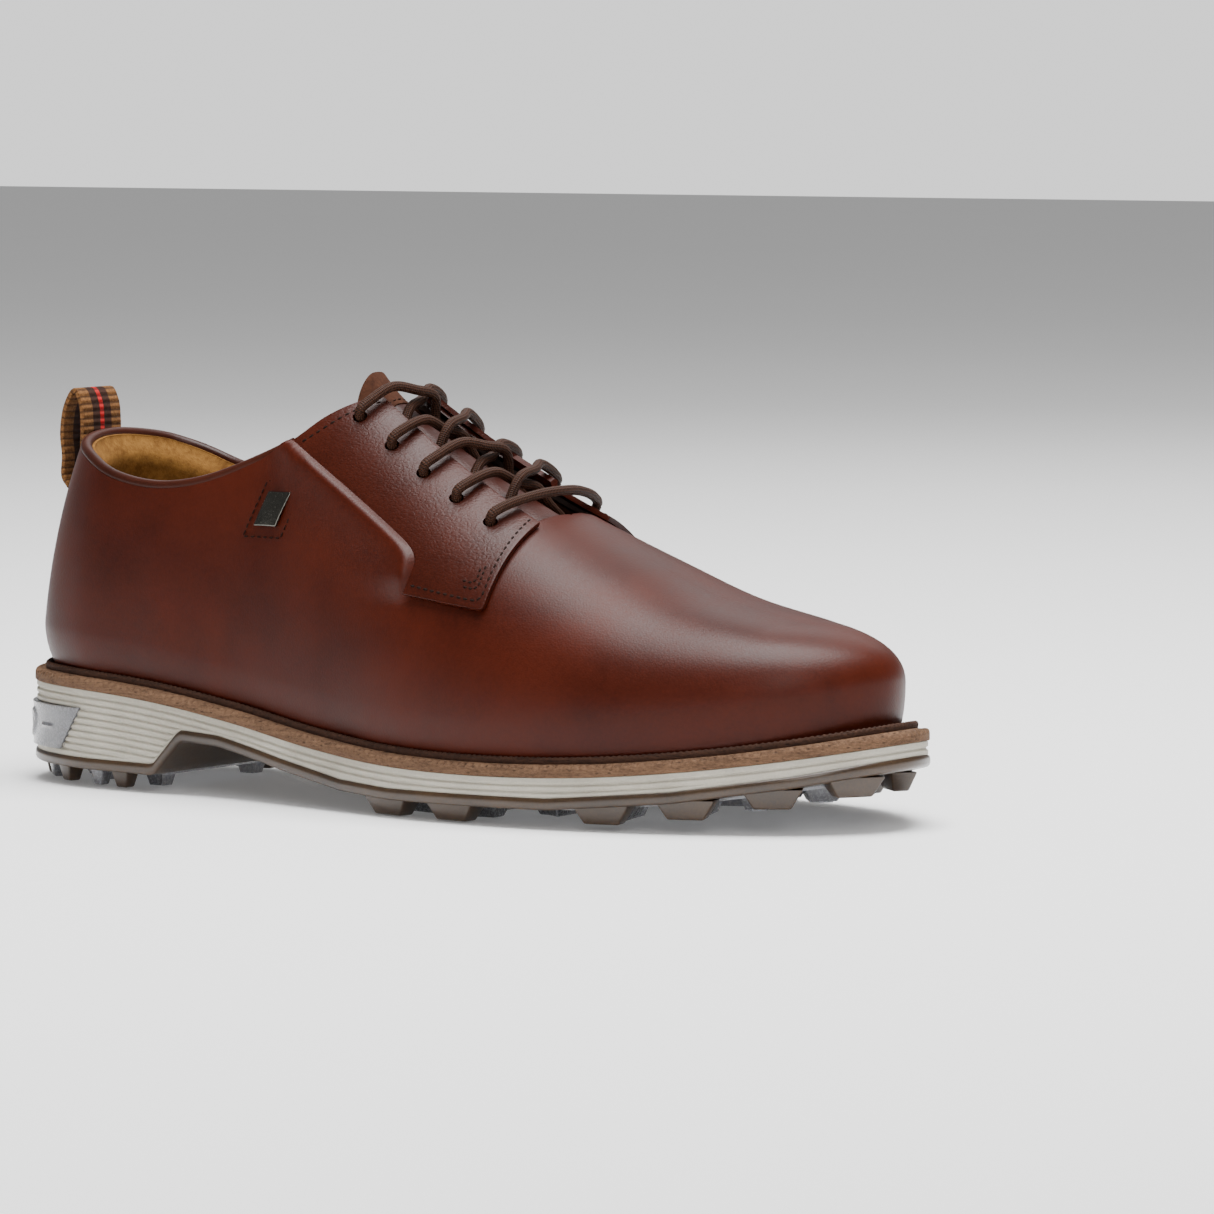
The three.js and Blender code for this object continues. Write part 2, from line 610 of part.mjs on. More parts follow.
// A drill through the facing at each eyelet of a side.
function drills(side) {
  return Array.from({ length: EYELETS }, (_, k) => {
    const { x, phi } = eyelet(k);
    const top = sideSkin(side, x, phi, -8);
    const low = sideSkin(side, x, phi, 9);
    const g = new THREE.CylinderGeometry(EYELET_R, EYELET_R, top.distanceTo(low), 10);
    g.applyQuaternion(new THREE.Quaternion().setFromUnitVectors(
      V(0, 1, 0), top.clone().sub(low).normalize()));
    g.translate((top.x + low.x) / 2, (top.y + low.y) / 2, (top.z + low.z) / 2);
    return solid(g);
  });
}

const facingShell = layer(-LEATHER_T - CLEAR, -CLEAR).subtract(openTop).subtract(laceSlot(0));
const backerShell = layer(CLEAR, LEATHER_T).subtract(aboveTopline(2)).subtract(laceSlot(1.5));
const facingLiningShell = layer(d2, d2 + FACING_LINING_T).subtract(aboveTopline(1))
  .subtract(laceSlot(2.4));
for (const [side, label] of [[-1, "lateral"], [1, "medial"]]) {
  const region = facingRegion(side, -CLEAR);
  const drill = (made) => drills(side).reduce((left, d) => left.subtract(d), made);
  add(`facing_${label}`, main(drill(facingShell.intersect(region))), facingLeather);
  const inside = underFacings(side).subtract(boxOf(FACING_CORNER[0] - 4.6, 300, 0, 300));
  const held = facingShellInset(inside, side);
  add(`facing_backer_${label}`, main(drill(backerShell.intersect(held))), stiffener);
  add(`facing_lining_${label}`, main(drill(facingLiningShell.intersect(
    facingRegion(side, -3).subtract(boxOf(FACING_CORNER[0] - 4, 300, 0, 300))))), microfibre);
}

// The area inside the leather's underlap, less a clearance.
function facingShellInset(region, side) {
  const moved = region.translate([1.2, 0, 1.2]);
  return region.intersect(moved).subtract(boxOf(FACING_CORNER[0] - 6, 300, 0, 300))
    .intersect(side < 0 ? sidePrism([[0, 0], [300, 0], [300, 300], [0, 300]], -FAR, 0)
      : sidePrism([[0, 0], [300, 0], [300, 300], [0, 300]], 0, FAR));
}

// A closed sheet over a grid of surface points, between two depths.
function sheet(point, nu, nv, outer, inner) {
  const grid = (depth) => Array.from({ length: nu + 1 }, (_, i) =>
    Array.from({ length: nv + 1 }, (_, j) => point(i / nu, j / nv, depth)));
  const a = grid(outer);
  const b = grid(inner);
  return loft(a.map((row, i) => [...row, ...b[i].slice().reverse()]));
}

// The tongue lies under the facings and flares up above them.
const tongueLift = through([[TONGUE_TOP_X, 4.5], [TONGUE_TOP_X + 5, 1.8], [TONGUE_TOP_X + 10, 0.4],
  [TONGUE_TOP_X + 14, 0]]);
function tonguePoint(from, to) {
  return (u, v, depth) => {
    const x = THREE.MathUtils.lerp(from, to, u);
    const across = 2 * v - 1;
    const corner = THREE.MathUtils.smoothstep(x, TONGUE_TOP_X, TONGUE_TOP_X + 9);
    const span = TONGUE_SPAN_DEG * (0.62 + 0.38 * corner);
    const phi = 90 - Math.abs(across) * span;
    return sideSkin(across < 0 ? -1 : 1, x, phi, TONGUE_DEPTH - tongueLift(x) + depth);
  };
}
add("tongue", sheet(tonguePoint(TONGUE_BAND_X + CLEAR, TONGUE_ROOT_X), 12, 10, 0, TONGUE_T),
  facingLeather);
add("tongue_band", sheet(tonguePoint(TONGUE_TOP_X, TONGUE_BAND_X), 4, 10, 0, TONGUE_T), nubuck);

// ---- Collar binding, badge, pull loop and lace --------------------------
function tube(points, radius, steps, sides, closed = false) {
  const path = new THREE.CatmullRomCurve3(points, closed, "centripetal");
  const section = new THREE.Shape(Array.from({ length: sides }, (_, i) => {
    const a = (2 * Math.PI * i) / sides;
    return new THREE.Vector2(Math.cos(a) * radius, Math.sin(a) * radius);
  }));
  return solid(new THREE.ExtrudeGeometry(section, { steps, extrudePath: path }));
}

// phi at which the surface reaches a height.
function phiAt(share, z) {
  let [low, high] = [0, rad(89)];
  for (let i = 0; i < 30; i++) {
    const mid = (low + high) / 2;
    if (rawSkin(share, mid).z < z) low = mid;
    else high = mid;
  }
  return low;
}

function bindingPath() {
  const end = shareAt(-1, RIDGE[0][0] - 3, UPPER_INSET);
  const endIn = shareAt(1, RIDGE[0][0] - 3, UPPER_INSET) - 1;
  const count = 34;
  return Array.from({ length: count + 1 }, (_, i) => {
    const share = THREE.MathUtils.lerp(end, endIn, i / count);
    let p = rawSkin(share, rad(40));
    for (let k = 0; k < 6; k++) p = skin(share, phiAt(share, topline(p.x)), d1 + 0.4);
    return p.add(V(0, 0, BINDING_R + 0.2 + LEATHER_T / 2));
  });
}
add("collar_binding", tube(bindingPath(), BINDING_R, 60, 8), leather);

const BADGE = { x: 107 * LONG, z: 82.3, length: 8.5, height: 9.7, lean: 4, thick: 1.1 };
function badgePlate() {
  return sheet((u, v, depth) => {
    const z = BADGE.z + (v - 0.5) * BADGE.height;
    const x = BADGE.x + (u - 0.5) * BADGE.length + (v - 0.5) * BADGE.lean;
    const share = shareAt(-1, x, UPPER_INSET);
    return skin(share, phiAt(share, z), depth);
  }, 3, 4, -BADGE.thick - CLEAR, -CLEAR);
}
add("badge", badgePlate(), badgeMetal);

const LOOP = { foot: 84, top: 112.5, reach: 5.5 }; // heights of its sewn foot and its top
function loopStrap() {
  const front = (z) => {
    const share = 0;
    const p = skin(share, phiAt(share, z), 0);
    return p.x - LOOP_T / 2 - CLEAR - 0.1;
  };
  const lean = front(97) - 1.6;
  const path = [
    V(front(LOOP.foot), 0, LOOP.foot), V(front(90), 0, 90), V(Math.min(front(97), lean), 0, 97),
    V(lean + 0.2, 0, 103), V(lean - 0.5, 0, 109), V(lean - LOOP.reach / 2, 0, LOOP.top),
    V(lean - LOOP.reach - 0.6, 0, 108), V(lean - LOOP.reach - 2.2, 0, 100),
    V(lean - LOOP.reach - 1.6, 0, 93), V(front(LOOP.foot) - 4.4, 0, 87),
    V(front(LOOP.foot) - LOOP_T - 0.7, 0, LOOP.foot),
  ];
  const curve = new THREE.CatmullRomCurve3(path, false, "centripetal");
  const steps = 30;
  const outline = (side) => Array.from({ length: steps + 1 }, (_, i) => {
    const p = curve.getPoint(i / steps);
    const t = curve.getTangent(i / steps);
    return [p.x + (side * -t.z * LOOP_T) / 2, p.z + (side * t.x * LOOP_T) / 2];
  });
  return sidePrism([...outline(1), ...outline(-1).reverse()], -LOOP_W / 2, LOOP_W / 2);
}
add("pull_loop", loopStrap(), webbing);

const OVER = -(LEATHER_T + CLEAR + LACE_R + 1.1); // the lace on top of a facing
const UNDER = d2 + FACING_LINING_T + LACE_R + 0.8; // and under it
const CROSS_LOW = -0.4;
const CROSS_HIGH = CROSS_LOW - 2 * LACE_R - 0.8;

// From below eyelet k on side `from` up through the gap and over to eyelet k + 1 on the other side.
function crossing(from, k, centre) {
  const a = eyelet(k);
  const b = eyelet(k + 1);
  const mid = (a.x + b.x) / 2;
  return [
    [from, a.x, a.phi, UNDER], [from, a.x - 1.6, a.phi + 7, UNDER],
    [from, a.x - 3.2, 77, UNDER - 1.6], [from, mid + 1, 84, centre + 0.7],
    [-from, mid - 0.6, 86.5, centre - 0.2], [-from, b.x + 2.6, 79, Math.min(centre - 1, OVER + 0.9)],
    [-from, b.x + 1.2, b.phi + 5, OVER - 0.5], [-from, b.x + 0.2, b.phi + 0.6, OVER + 0.2],
    [-from, b.x, b.phi, 0.5],
  ];
}

function laceRoute() {
  const half = (side) => {
    let points = [];
    let from = side;
    for (let k = 0; k < EYELETS - 1; k++) {
      points = points.concat(crossing(from, k, side < 0 ? CROSS_HIGH : CROSS_LOW));
      from = -from;
    }
    const end = eyelet(EYELETS - 1);
    return [...points, [from, end.x, end.phi, UNDER], [from, end.x + 4, end.phi - 4, UNDER],
      [from, end.x + 11, end.phi - 6, UNDER]];
  };
  const first = eyelet(0);
  const hop = (side) => [[side, first.x, first.phi, 0.5], [side, first.x + 0.3, first.phi + 0.6, OVER + 0.2],
    [side, first.x + 1.6, first.phi + 6, OVER - 0.4], [side, first.x + 4, 80, OVER - 0.2]];
  const bar = [...hop(-1), [1, first.x + 5, 90, OVER - 0.4], ...hop(1).reverse()];
  const route = [...half(-1).reverse(), ...bar, ...half(1)];
  return route.map(([side, x, phi, depth]) => sideSkin(side, x, phi, depth));
}
add("lace", tube(laceRoute(), LACE_R, 110, 8), cord);

// The origin is on the ground under the middle of the shoe.
const bounds = new THREE.Box3().setFromObject(shoe);
shoe.position.set(-(bounds.min.x + bounds.max.x) / 2, -(bounds.min.y + bounds.max.y) / 2,
  -bounds.min.z);

export default shoe;
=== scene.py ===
"""A leather lace-up golf shoe for the right foot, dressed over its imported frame.

The upper, sole and trim are modelled on one last, whose sizes are in millimetres in the
sole's own frame: x runs from the back of the heel to the toe, y to the inner side, z up.
"""

import logging
import math
from dataclasses import dataclass, field
from enum import Enum
from functools import cached_property
from typing import Callable, Sequence

import bpy
import numpy as np
from mathutils import Matrix, Vector


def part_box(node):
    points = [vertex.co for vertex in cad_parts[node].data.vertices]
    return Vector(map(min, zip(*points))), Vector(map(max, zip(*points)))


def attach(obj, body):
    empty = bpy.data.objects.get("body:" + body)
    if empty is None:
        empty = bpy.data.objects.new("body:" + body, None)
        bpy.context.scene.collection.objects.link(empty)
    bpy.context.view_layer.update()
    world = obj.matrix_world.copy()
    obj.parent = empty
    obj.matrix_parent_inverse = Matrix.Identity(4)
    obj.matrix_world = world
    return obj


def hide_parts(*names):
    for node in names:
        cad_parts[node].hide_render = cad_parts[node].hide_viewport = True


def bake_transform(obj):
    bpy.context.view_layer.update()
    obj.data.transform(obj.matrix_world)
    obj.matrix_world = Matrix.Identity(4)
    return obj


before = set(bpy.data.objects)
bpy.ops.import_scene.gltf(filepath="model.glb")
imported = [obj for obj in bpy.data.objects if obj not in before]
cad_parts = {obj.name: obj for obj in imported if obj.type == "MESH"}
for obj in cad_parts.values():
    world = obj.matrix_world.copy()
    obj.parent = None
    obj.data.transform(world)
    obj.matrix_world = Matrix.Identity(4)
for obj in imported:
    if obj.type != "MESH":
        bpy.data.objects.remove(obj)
logging.basicConfig(level=logging.INFO, format="%(message)s")
LOG = logging.getLogger("golf_shoe")

Array = np.ndarray
Curve = Callable[[Array], Array]
REAR, FORE, TONGUE, LOOP = "rear_shoe", "forefoot", "tongue_flap", "heel_loop"


class Side(Enum):
    """A side of the shoe, as the sign of y."""

    OUTER = -1
    INNER = 1


# ---- The last -------------------------------------------------------------------------


def through(knots: Sequence[tuple[float, float]]) -> Curve:
    """A smooth function through knots, level beyond its ends.

    Args:
        knots: Pairs of x and value, in rising x.

    Returns:
        A function of an array of x.
    """
    xs, ys = np.array(knots, float).T
    low = np.maximum(np.arange(len(xs)) - 1, 0)
    high = np.minimum(np.arange(len(xs)) + 1, len(xs) - 1)
    slope = (ys[high] - ys[low]) / (xs[high] - xs[low])

    def value(x: Array) -> Array:
        """The function itself."""
        at = np.clip(np.asarray(x, float), xs[0], xs[-1])
        i = np.clip(np.searchsorted(xs, at, side="right") - 1, 0, len(xs) - 2)
        w = xs[i + 1] - xs[i]
        t = (at - xs[i]) / w
        return (
            (2 * t**3 - 3 * t**2 + 1) * ys[i]
            + (t**3 - 2 * t**2 + t) * w * slope[i]
            + (3 * t**2 - 2 * t**3) * ys[i + 1]
            + (t**3 - t**2) * w * slope[i + 1]
        )

    return value


def straight(knots: Sequence[tuple[float, float]]) -> Curve:
    """A function of straight lines between knots of x and value."""
    xs, ys = np.array(knots, float).T
    return lambda x: np.interp(x, xs, ys)


def ease(low: float, high: float, x: Array) -> Array:
    """A smooth step from 0 at low to 1 at high."""
    t = np.clip((np.asarray(x, float) - low) / (high - low), 0, 1)
    return t * t * (3 - 2 * t)


def span(p: list[Array], w: Array) -> Array:
    """Points between the middle two of four knots, on a centripetal Catmull-Rom spline.

    Args:
        p: The four knots.
        w: How far from the second to the third, from 0 to 1.

    Returns:
        The points.
    """
    d0, d1, d2 = (
        np.maximum(np.linalg.norm(p[k + 1] - p[k], axis=-1, keepdims=True) ** 0.5, 1e-4)
        for k in range(3)
    )
    t1 = ((p[1] - p[0]) / d0 - (p[2] - p[0]) / (d0 + d1) + (p[2] - p[1]) / d1) * d1
    t2 = ((p[2] - p[1]) / d1 - (p[3] - p[1]) / (d1 + d2) + (p[3] - p[2]) / d2) * d1
    c2 = -3 * p[1] + 3 * p[2] - 2 * t1 - t2
    c3 = 2 * p[1] - 2 * p[2] + t1 + t2
    return p[1] + t1 * w + c2 * w**2 + c3 * w**3


def run_of(path: Array) -> Array:
    """How far along a polyline each of its points is."""
    return np.concatenate([[0], np.cumsum(np.linalg.norm(np.diff(path, axis=0), axis=1))])


def relax(line: Array, times: int) -> None:
    """Rounds the corners of a polyline in place, its ends held."""
    for _ in range(times):
        line[1:-1] = (line[:-2] + 2 * line[1:-1] + line[2:]) / 4


@dataclass(frozen=True)
class Last:
    """The form that the shoe is built on, and the sizes that its pieces share."""

    sole_edge: tuple = (
        (0, 0), (3, -14), (13, -28), (32, -37), (60, -39.5), (95, -40), (130, -45.5),
        (165, -52), (198, -53), (230, -48), (260, -37.5), (281, -26), (293.5, -13), (299, 0),
        (298.5, 10), (293, 21), (282, 32), (265, 42.5), (240, 50), (208, 51), (174, 44.5),
        (140, 36.5), (105, 33.5), (65, 35.5), (33, 35), (13, 27), (3, 13),
    )
    tread: tuple = (
        (0, 5.6), (40, 5), (66, 4.8), (76, 15.2), (90, 14.4), (115, 9.6), (140, 5.6),
        (160, 4.6), (215, 5), (250, 8), (280, 12.6), (301, 17),
    )
    welt_line: tuple = (
        (0, 28.8), (35, 28.2), (65, 26), (95, 21.6), (125, 17), (155, 14.2), (190, 13.4),
        (225, 14.4), (255, 17), (280, 20.4), (301, 24),
    )
    spine_z_line: tuple = (
        (45, 140), (80, 135), (110, 125), (124, 118), (150, 102), (170, 91), (187, 82.5),
        (210, 72), (235, 61.5), (262, 55),
    )
    spine_y_line: tuple = ((45, 0), (100, -1), (150, -2), (187, -1.5), (230, 0.5), (262, 3))
    power_line: tuple = ((0, 1.2), (60, 1.12), (110, 1.0), (190, 0.96), (262, 0.7))
    topline: tuple = (
        (-10, 101), (14, 100.5), (30, 95), (46, 89), (62, 86.8), (78, 88.6), (94, 94),
        (110, 101.5), (119, 108.5), (127, 112.5), (140, 114.5),
    )
    ridge: tuple = ((110, 101.5), (164.5, 71.5), (163, 61.5))
    facing_corner: tuple = (189.5, 57.4)
    lace_gap_line: tuple = ((100, 6), (124, 9.5), (150, 12), (188, 16), (200, 16))
    heel_pole: float = 45.0
    toe_pole: float = 262.0
    toe_slope: float = -0.1
    heel_lean: float = 0.32
    heel_lean_foot: float = 0.12
    toe_draw: float = 0.12
    tuck: float = 22.0
    bulge: float = 13.0
    inset: float = 5.4
    welt_t: float = 3.4
    rubber_t: float = 3.2
    clear: float = 0.3
    ball: float = 205.0

    @cached_property
    def _edge_table(self) -> tuple[Array, Array]:
        """Arc length shares and curve parameters round the sole's edge."""
        u = np.linspace(0, 1, 6000)
        run = run_of(self._edge_at(u))
        return run / run[-1], u

    def _edge_at(self, u: Array) -> Array:
        """Points of the closed centripetal spline through the sole's edge, at parameters u."""
        knots = np.array(self.sole_edge, float)
        n = len(knots)
        at = (np.asarray(u) % 1) * n
        i = np.floor(at).astype(int) % n
        return span([knots[(i + k) % n] for k in (-1, 0, 1, 2)], (at - np.floor(at))[..., None])

    def edge(self, share: Array, inset: float | Array = 0.0) -> Array:
        """Points of the sole's edge, moved inwards.

        Args:
            share: How far round, from 0 at the heel along the outer side to 1.
            inset: How far in from the edge.

        Returns:
            An array of x and y pairs.
        """
        runs, us = self._edge_table
        u = np.interp(np.asarray(share, float) % 1, runs, us)
        h = 2e-4
        tangent = self._edge_at(u + h) - self._edge_at(u - h)
        tangent /= np.linalg.norm(tangent, axis=-1, keepdims=True)
        inwards = np.stack([-tangent[..., 1], tangent[..., 0]], -1)
        return self._edge_at(u) + inwards * np.asarray(inset, float)[..., None]

    @cached_property
    def _side_tables(self) -> dict[Side, tuple[Array, Array]]:
        """For each side, rising x of the upper's foot and the share there."""
        tables = {}
        for side, shares in ((Side.OUTER, np.linspace(0, 0.5, 3000)),
                             (Side.INNER, np.linspace(1, 0.5, 3000))):
            x = np.maximum.accumulate(self.edge(shares, self.inset)[:, 0])
            tables[side] = (x, shares)
        return tables

    def share_at(self, side: Side, x: Array) -> Array:
        """The share round the sole at which the upper's foot has this x."""
        xs, shares = self._side_tables[side]
        return np.interp(x, xs, shares)

    def tread_z(self, x: Array) -> Array:
        """Height of the outsole's underside."""
        return straight(self.tread)(x)

    def welt_z(self, x: Array) -> Array:
        """Height of the welt's underside."""
        return through(self.welt_line)(x)

    def foot_z(self, x: Array) -> Array:
        """Height of the upper's foot."""
        return self.welt_z(x) + self.welt_t + self.clear

    def spine_y(self, x: Array) -> Array:
        """The spine's y."""
        return through(self.spine_y_line)(x)

    def spine_z(self, x: Array) -> Array:
        """The spine's height."""
        return through(self.spine_z_line)(x)

    def lace_gap(self, x: Array) -> Array:
        """Half the gap between the facings."""
        return through(self.lace_gap_line)(x)

    def top_z(self, x: Array) -> Array:
        """Height of the topline."""
        return through(self.topline)(x)

    def raw(self, share: Array, phi: Array) -> Array:
        """Points of the upper's outer surface.

        Args:
            share: How far round the sole.
            phi: Radians round the section, 0 at the widest line and a right angle at the spine.

        Returns:
            An array of points.
        """
        base = self.edge(share, self.inset)
        x = np.clip(base[..., 0], self.heel_pole, self.toe_pole)
        power = through(self.power_line)(x)
        reach = (np.maximum(np.cos(phi), 0) / math.cos(math.radians(self.tuck))) ** power
        px = x + (base[..., 0] - x) * reach
        py = self.spine_y(x) + (base[..., 1] - self.spine_y(x)) * reach
        wide = self.foot_z(base[..., 0]) + self.bulge
        up = np.maximum(np.sin(phi), 0)
        down = np.minimum(np.sin(phi), 0) * self.bulge / math.sin(math.radians(self.tuck))
        lean = self.heel_lean * (self.heel_lean_foot + up) * (base[..., 0] < self.heel_pole)
        lean += self.toe_draw * (base[..., 0] > self.toe_pole)
        px = x + (px - x) * (1 - lean)
        lean = self.toe_slope * np.maximum(px - self.toe_pole, 0) * up**1.5
        return np.stack([px, py, wide + (self.spine_z(x) - wide) * up + down + lean], -1)

    def normal(self, share: Array, phi: Array) -> Array:
        """Outward unit normals of the surface."""
        at = np.minimum(phi, math.radians(89))
        h = 1e-3
        along = self.raw(share + h, at) - self.raw(share - h, at)
        up = self.raw(share, at + h) - self.raw(share, at - h)
        n = np.cross(along, up)
        return n / np.maximum(np.linalg.norm(n, axis=-1, keepdims=True), 1e-9)

    def skin(self, share: Array, phi: Array, depth: float | Array = 0.0) -> Array:
        """Points of the surface moved inwards by a depth."""
        share, phi = np.broadcast_arrays(np.asarray(share, float), np.asarray(phi, float))
        n = self.normal(share, phi)
        x = np.clip(self.edge(share, self.inset)[..., 0], self.heel_pole, self.toe_pole)
        slope = (self.spine_z(x + 1) - self.spine_z(x - 1)) / 2
        top = np.stack([-slope, 0 * x, 1 + 0 * x], -1)
        top /= np.linalg.norm(top, axis=-1, keepdims=True)
        near = ease(math.radians(84), math.radians(90), phi)[..., None]
        n = n * (1 - near) + top * near
        return self.raw(share, phi) - n * np.asarray(depth, float)[..., None]

    def side_skin(self, side: Side, x: Array, phi_deg: Array, depth: float | Array = 0.0) -> Array:
        """The same by side, x along the foot and degrees round the section."""
        return self.skin(self.share_at(side, x), np.radians(phi_deg), depth)

    def phi_at(self, share: Array, z: Array) -> Array:
        """Radians round the section at which the surface reaches a height."""
        low = np.zeros(np.shape(share))
        high = np.full(np.shape(share), math.radians(89))
        for _ in range(26):
            mid = (low + high) / 2
            under = self.raw(share, mid)[..., 2] < z
            low = np.where(under, mid, low)
            high = np.where(under, high, mid)
        return low

    def side_view(self, side: Side, x: Array, z: Array, depth: float | Array = 0.0) -> Array:
        """The surface points that are seen at x and z from that side."""
        foot = np.asarray(x, float)
        for _ in range(6):
            share = self.share_at(side, foot)
            phi = self.phi_at(share, z)
            foot = foot + (x - self.raw(share, phi)[..., 0])
        return self.skin(share, phi, depth)


LAST = Last()


@dataclass(frozen=True)
class Eyelets:
    """The row of eyelets in each facing, from the front up."""

    count: int = 5
    x: float = 178.0
    pitch: float = 12.6
    radius: float = 2.1
    phi_first: float = 61.0
    phi_last: float = 64.0

    def at(self, k: int) -> tuple[float, float]:
        """An eyelet's x and degrees round the section."""
        return (self.x - self.pitch * k,
                self.phi_first + (self.phi_last - self.phi_first) * k / (self.count - 1))


EYELETS = Eyelets()


@dataclass(frozen=True)
class Place:
    """Moves points from the last's frame, in millimetres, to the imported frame, in metres."""

    x: float
    y: float

    @classmethod
    def from_frame(cls) -> "Place":
        """The move that puts the last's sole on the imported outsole."""
        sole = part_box("outsole_rear")
        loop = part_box("pull_loop")
        return cls(x=0.05 - sole[0].x * 1000, y=-(loop[0].y + loop[1].y) * 500)

    def __call__(self, points: Array) -> Array:
        """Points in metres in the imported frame."""
        p = np.asarray(points, float)
        return (p - np.array([self.x, self.y, 0.0])) / 1000

    def point(self, x: float, y: float, z: float) -> tuple[float, float, float]:
        """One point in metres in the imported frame."""
        return tuple(float(c) for c in self(np.array([x, y, z])))


PLACE = Place.from_frame()


# ---- Modelling ------------------------------------------------------------------------


def only(obj: bpy.types.Object) -> bpy.types.Object:
    """Selects this object alone and makes it active."""
    bpy.ops.object.select_all(action="DESELECT")
    obj.select_set(True)
    bpy.context.view_layer.objects.active = obj
    return obj


def apply(obj: bpy.types.Object, kind: str, **settings: object) -> None:
    """Adds a modifier with settings and applies it.

    Args:
        obj: The object.
        kind: The modifier's type.
        settings: Its properties.
    """
    only(obj)
    modifier = obj.modifiers.new(kind.title(), kind)
    for key, value in settings.items():
        setattr(modifier, key, value)
    bpy.ops.object.modifier_apply(modifier=modifier.name)


def edit(obj: bpy.types.Object, *steps: Callable[[], object]) -> None:
    """Runs operators in edit mode on the whole mesh."""
    only(obj)
    bpy.ops.object.mode_set(mode="EDIT")
    bpy.ops.mesh.select_all(action="SELECT")
    for step in steps:
        step()
    bpy.ops.object.mode_set(mode="OBJECT")


def weld(distance_mm: float = 0.01) -> Callable[[], object]:
    """An edit step that merges doubled corners."""
    return lambda: bpy.ops.mesh.remove_doubles(threshold=distance_mm / 1000)


def outwards() -> object:
    """An edit step that turns every face outwards."""
    return bpy.ops.mesh.normals_make_consistent(inside=False)


def smooth(obj: bpy.types.Object, degrees: float = 40.0) -> bpy.types.Object:
    """Shades an object smooth, with creases kept above an angle."""
    only(obj)
    bpy.ops.object.shade_smooth_by_angle(angle=math.radians(degrees))
    return obj


def grid(name: str, points: Array, merge: float = 0.01) -> bpy.types.Object:
    """A mesh grid shaped over rows and columns of points.

    Args:
        name: The piece's name.
        points: Points of shape (columns, rows, 3) in millimetres on the last.
        merge: Corners nearer than this, in millimetres, are merged.

    Returns:
        The new object, at the origin.
    """
    nu, nv = points.shape[0] - 1, points.shape[1] - 1
    bpy.ops.mesh.primitive_grid_add(x_subdivisions=nu, y_subdivisions=nv, size=1)
    obj = bpy.context.active_object
    obj.name = obj.data.name = name
    placed = PLACE(points).transpose(1, 0, 2).reshape(-1, 3)
    obj.data.vertices.foreach_set("co", placed.astype(np.float32).ravel())
    obj.data.update()
    steps = [outwards]
    if merge > 0:
        steps.insert(0, weld(merge))
    edit(obj, *steps)
    return smooth(obj)


def shell(obj: bpy.types.Object, thickness: float, offset: float, round_mm: float = 0.35,
          segments: int = 2) -> bpy.types.Object:
    """Gives a sheet its thickness and rounds its rim.

    Args:
        obj: The sheet.
        thickness: In millimetres.
        offset: -1 to grow inwards, 1 outwards.
        round_mm: Radius of the rounded rim, 0 for none.
        segments: Steps of the rounding.

    Returns:
        The same object.
    """
    apply(obj, "SOLIDIFY", thickness=thickness / 1000, offset=offset)
    if round_mm > 0:
        apply(obj, "BEVEL", width=round_mm / 1000, segments=segments, limit_method="ANGLE",
              angle_limit=math.radians(50))
    return smooth(obj)


def frames(path: Array, up: Array) -> tuple[Array, Array]:
    """Sideways and upward unit vectors along a path.

    Args:
        path: Points along it.
        up: A rough upward direction for each point.

    Returns:
        The sideways and the upward vectors.
    """
    tangent = np.gradient(path, axis=0)
    tangent /= np.linalg.norm(tangent, axis=1, keepdims=True)
    side = np.cross(tangent, up)
    side /= np.maximum(np.linalg.norm(side, axis=1, keepdims=True), 1e-9)
    return side, np.cross(side, tangent)


def resample(path: Array, step: float) -> Array:
    """Points at even steps along a polyline, in millimetres."""
    run = run_of(path)
    count = max(int(round(run[-1] / step)), 2)
    at = np.linspace(0, run[-1], count + 1)
    return np.stack([np.interp(at, run, path[:, k]) for k in range(3)], -1)


def spline(points: Array, per_span: int = 12) -> Array:
    """A smooth open curve through points (centripetal Catmull-Rom)."""
    p = np.vstack([2 * points[0] - points[1], points, 2 * points[-1] - points[-2]])
    out = []
    w = np.linspace(0, 1, per_span, endpoint=False)[:, None]
    for i in range(1, len(p) - 2):
        out.append(span([p[i + k] for k in (-1, 0, 1, 2)], w))
    out.append(p[-2][None])
    return np.vstack(out)


def tube(name: str, path: Array, radius: float, sides: int = 12,
         up: Array | None = None) -> bpy.types.Object:
    """A round tube along a path, closed at both ends.

    Args:
        name: The piece's name.
        path: Points in millimetres.
        radius: Its radius.
        sides: Corners round it.
        up: A rough upward direction for each point.

    Returns:
        The new object.
    """
    ups = np.tile([0.0, 0.0, 1.0], (len(path), 1)) if up is None else up
    side, top = frames(path, ups)
    angle = np.linspace(0, 2 * math.pi, sides + 1)
    ring = side[:, None] * np.cos(angle)[:, None] + top[:, None] * np.sin(angle)[:, None]
    first, last = (np.repeat(end[None, None], sides + 1, 1) for end in (path[0], path[-1]))
    return grid(name, np.concatenate([first, path[:, None] + ring * radius, last], 0), 0.002)


def join(name: str, objects: list[bpy.types.Object]) -> bpy.types.Object:
    """Joins objects into one."""
    bpy.ops.object.select_all(action="DESELECT")
    for obj in objects:
        obj.select_set(True)
    bpy.context.view_layer.objects.active = objects[0]
    if len(objects) > 1:
        bpy.ops.object.join()
    objects[0].name = objects[0].data.name = name
    return objects[0]


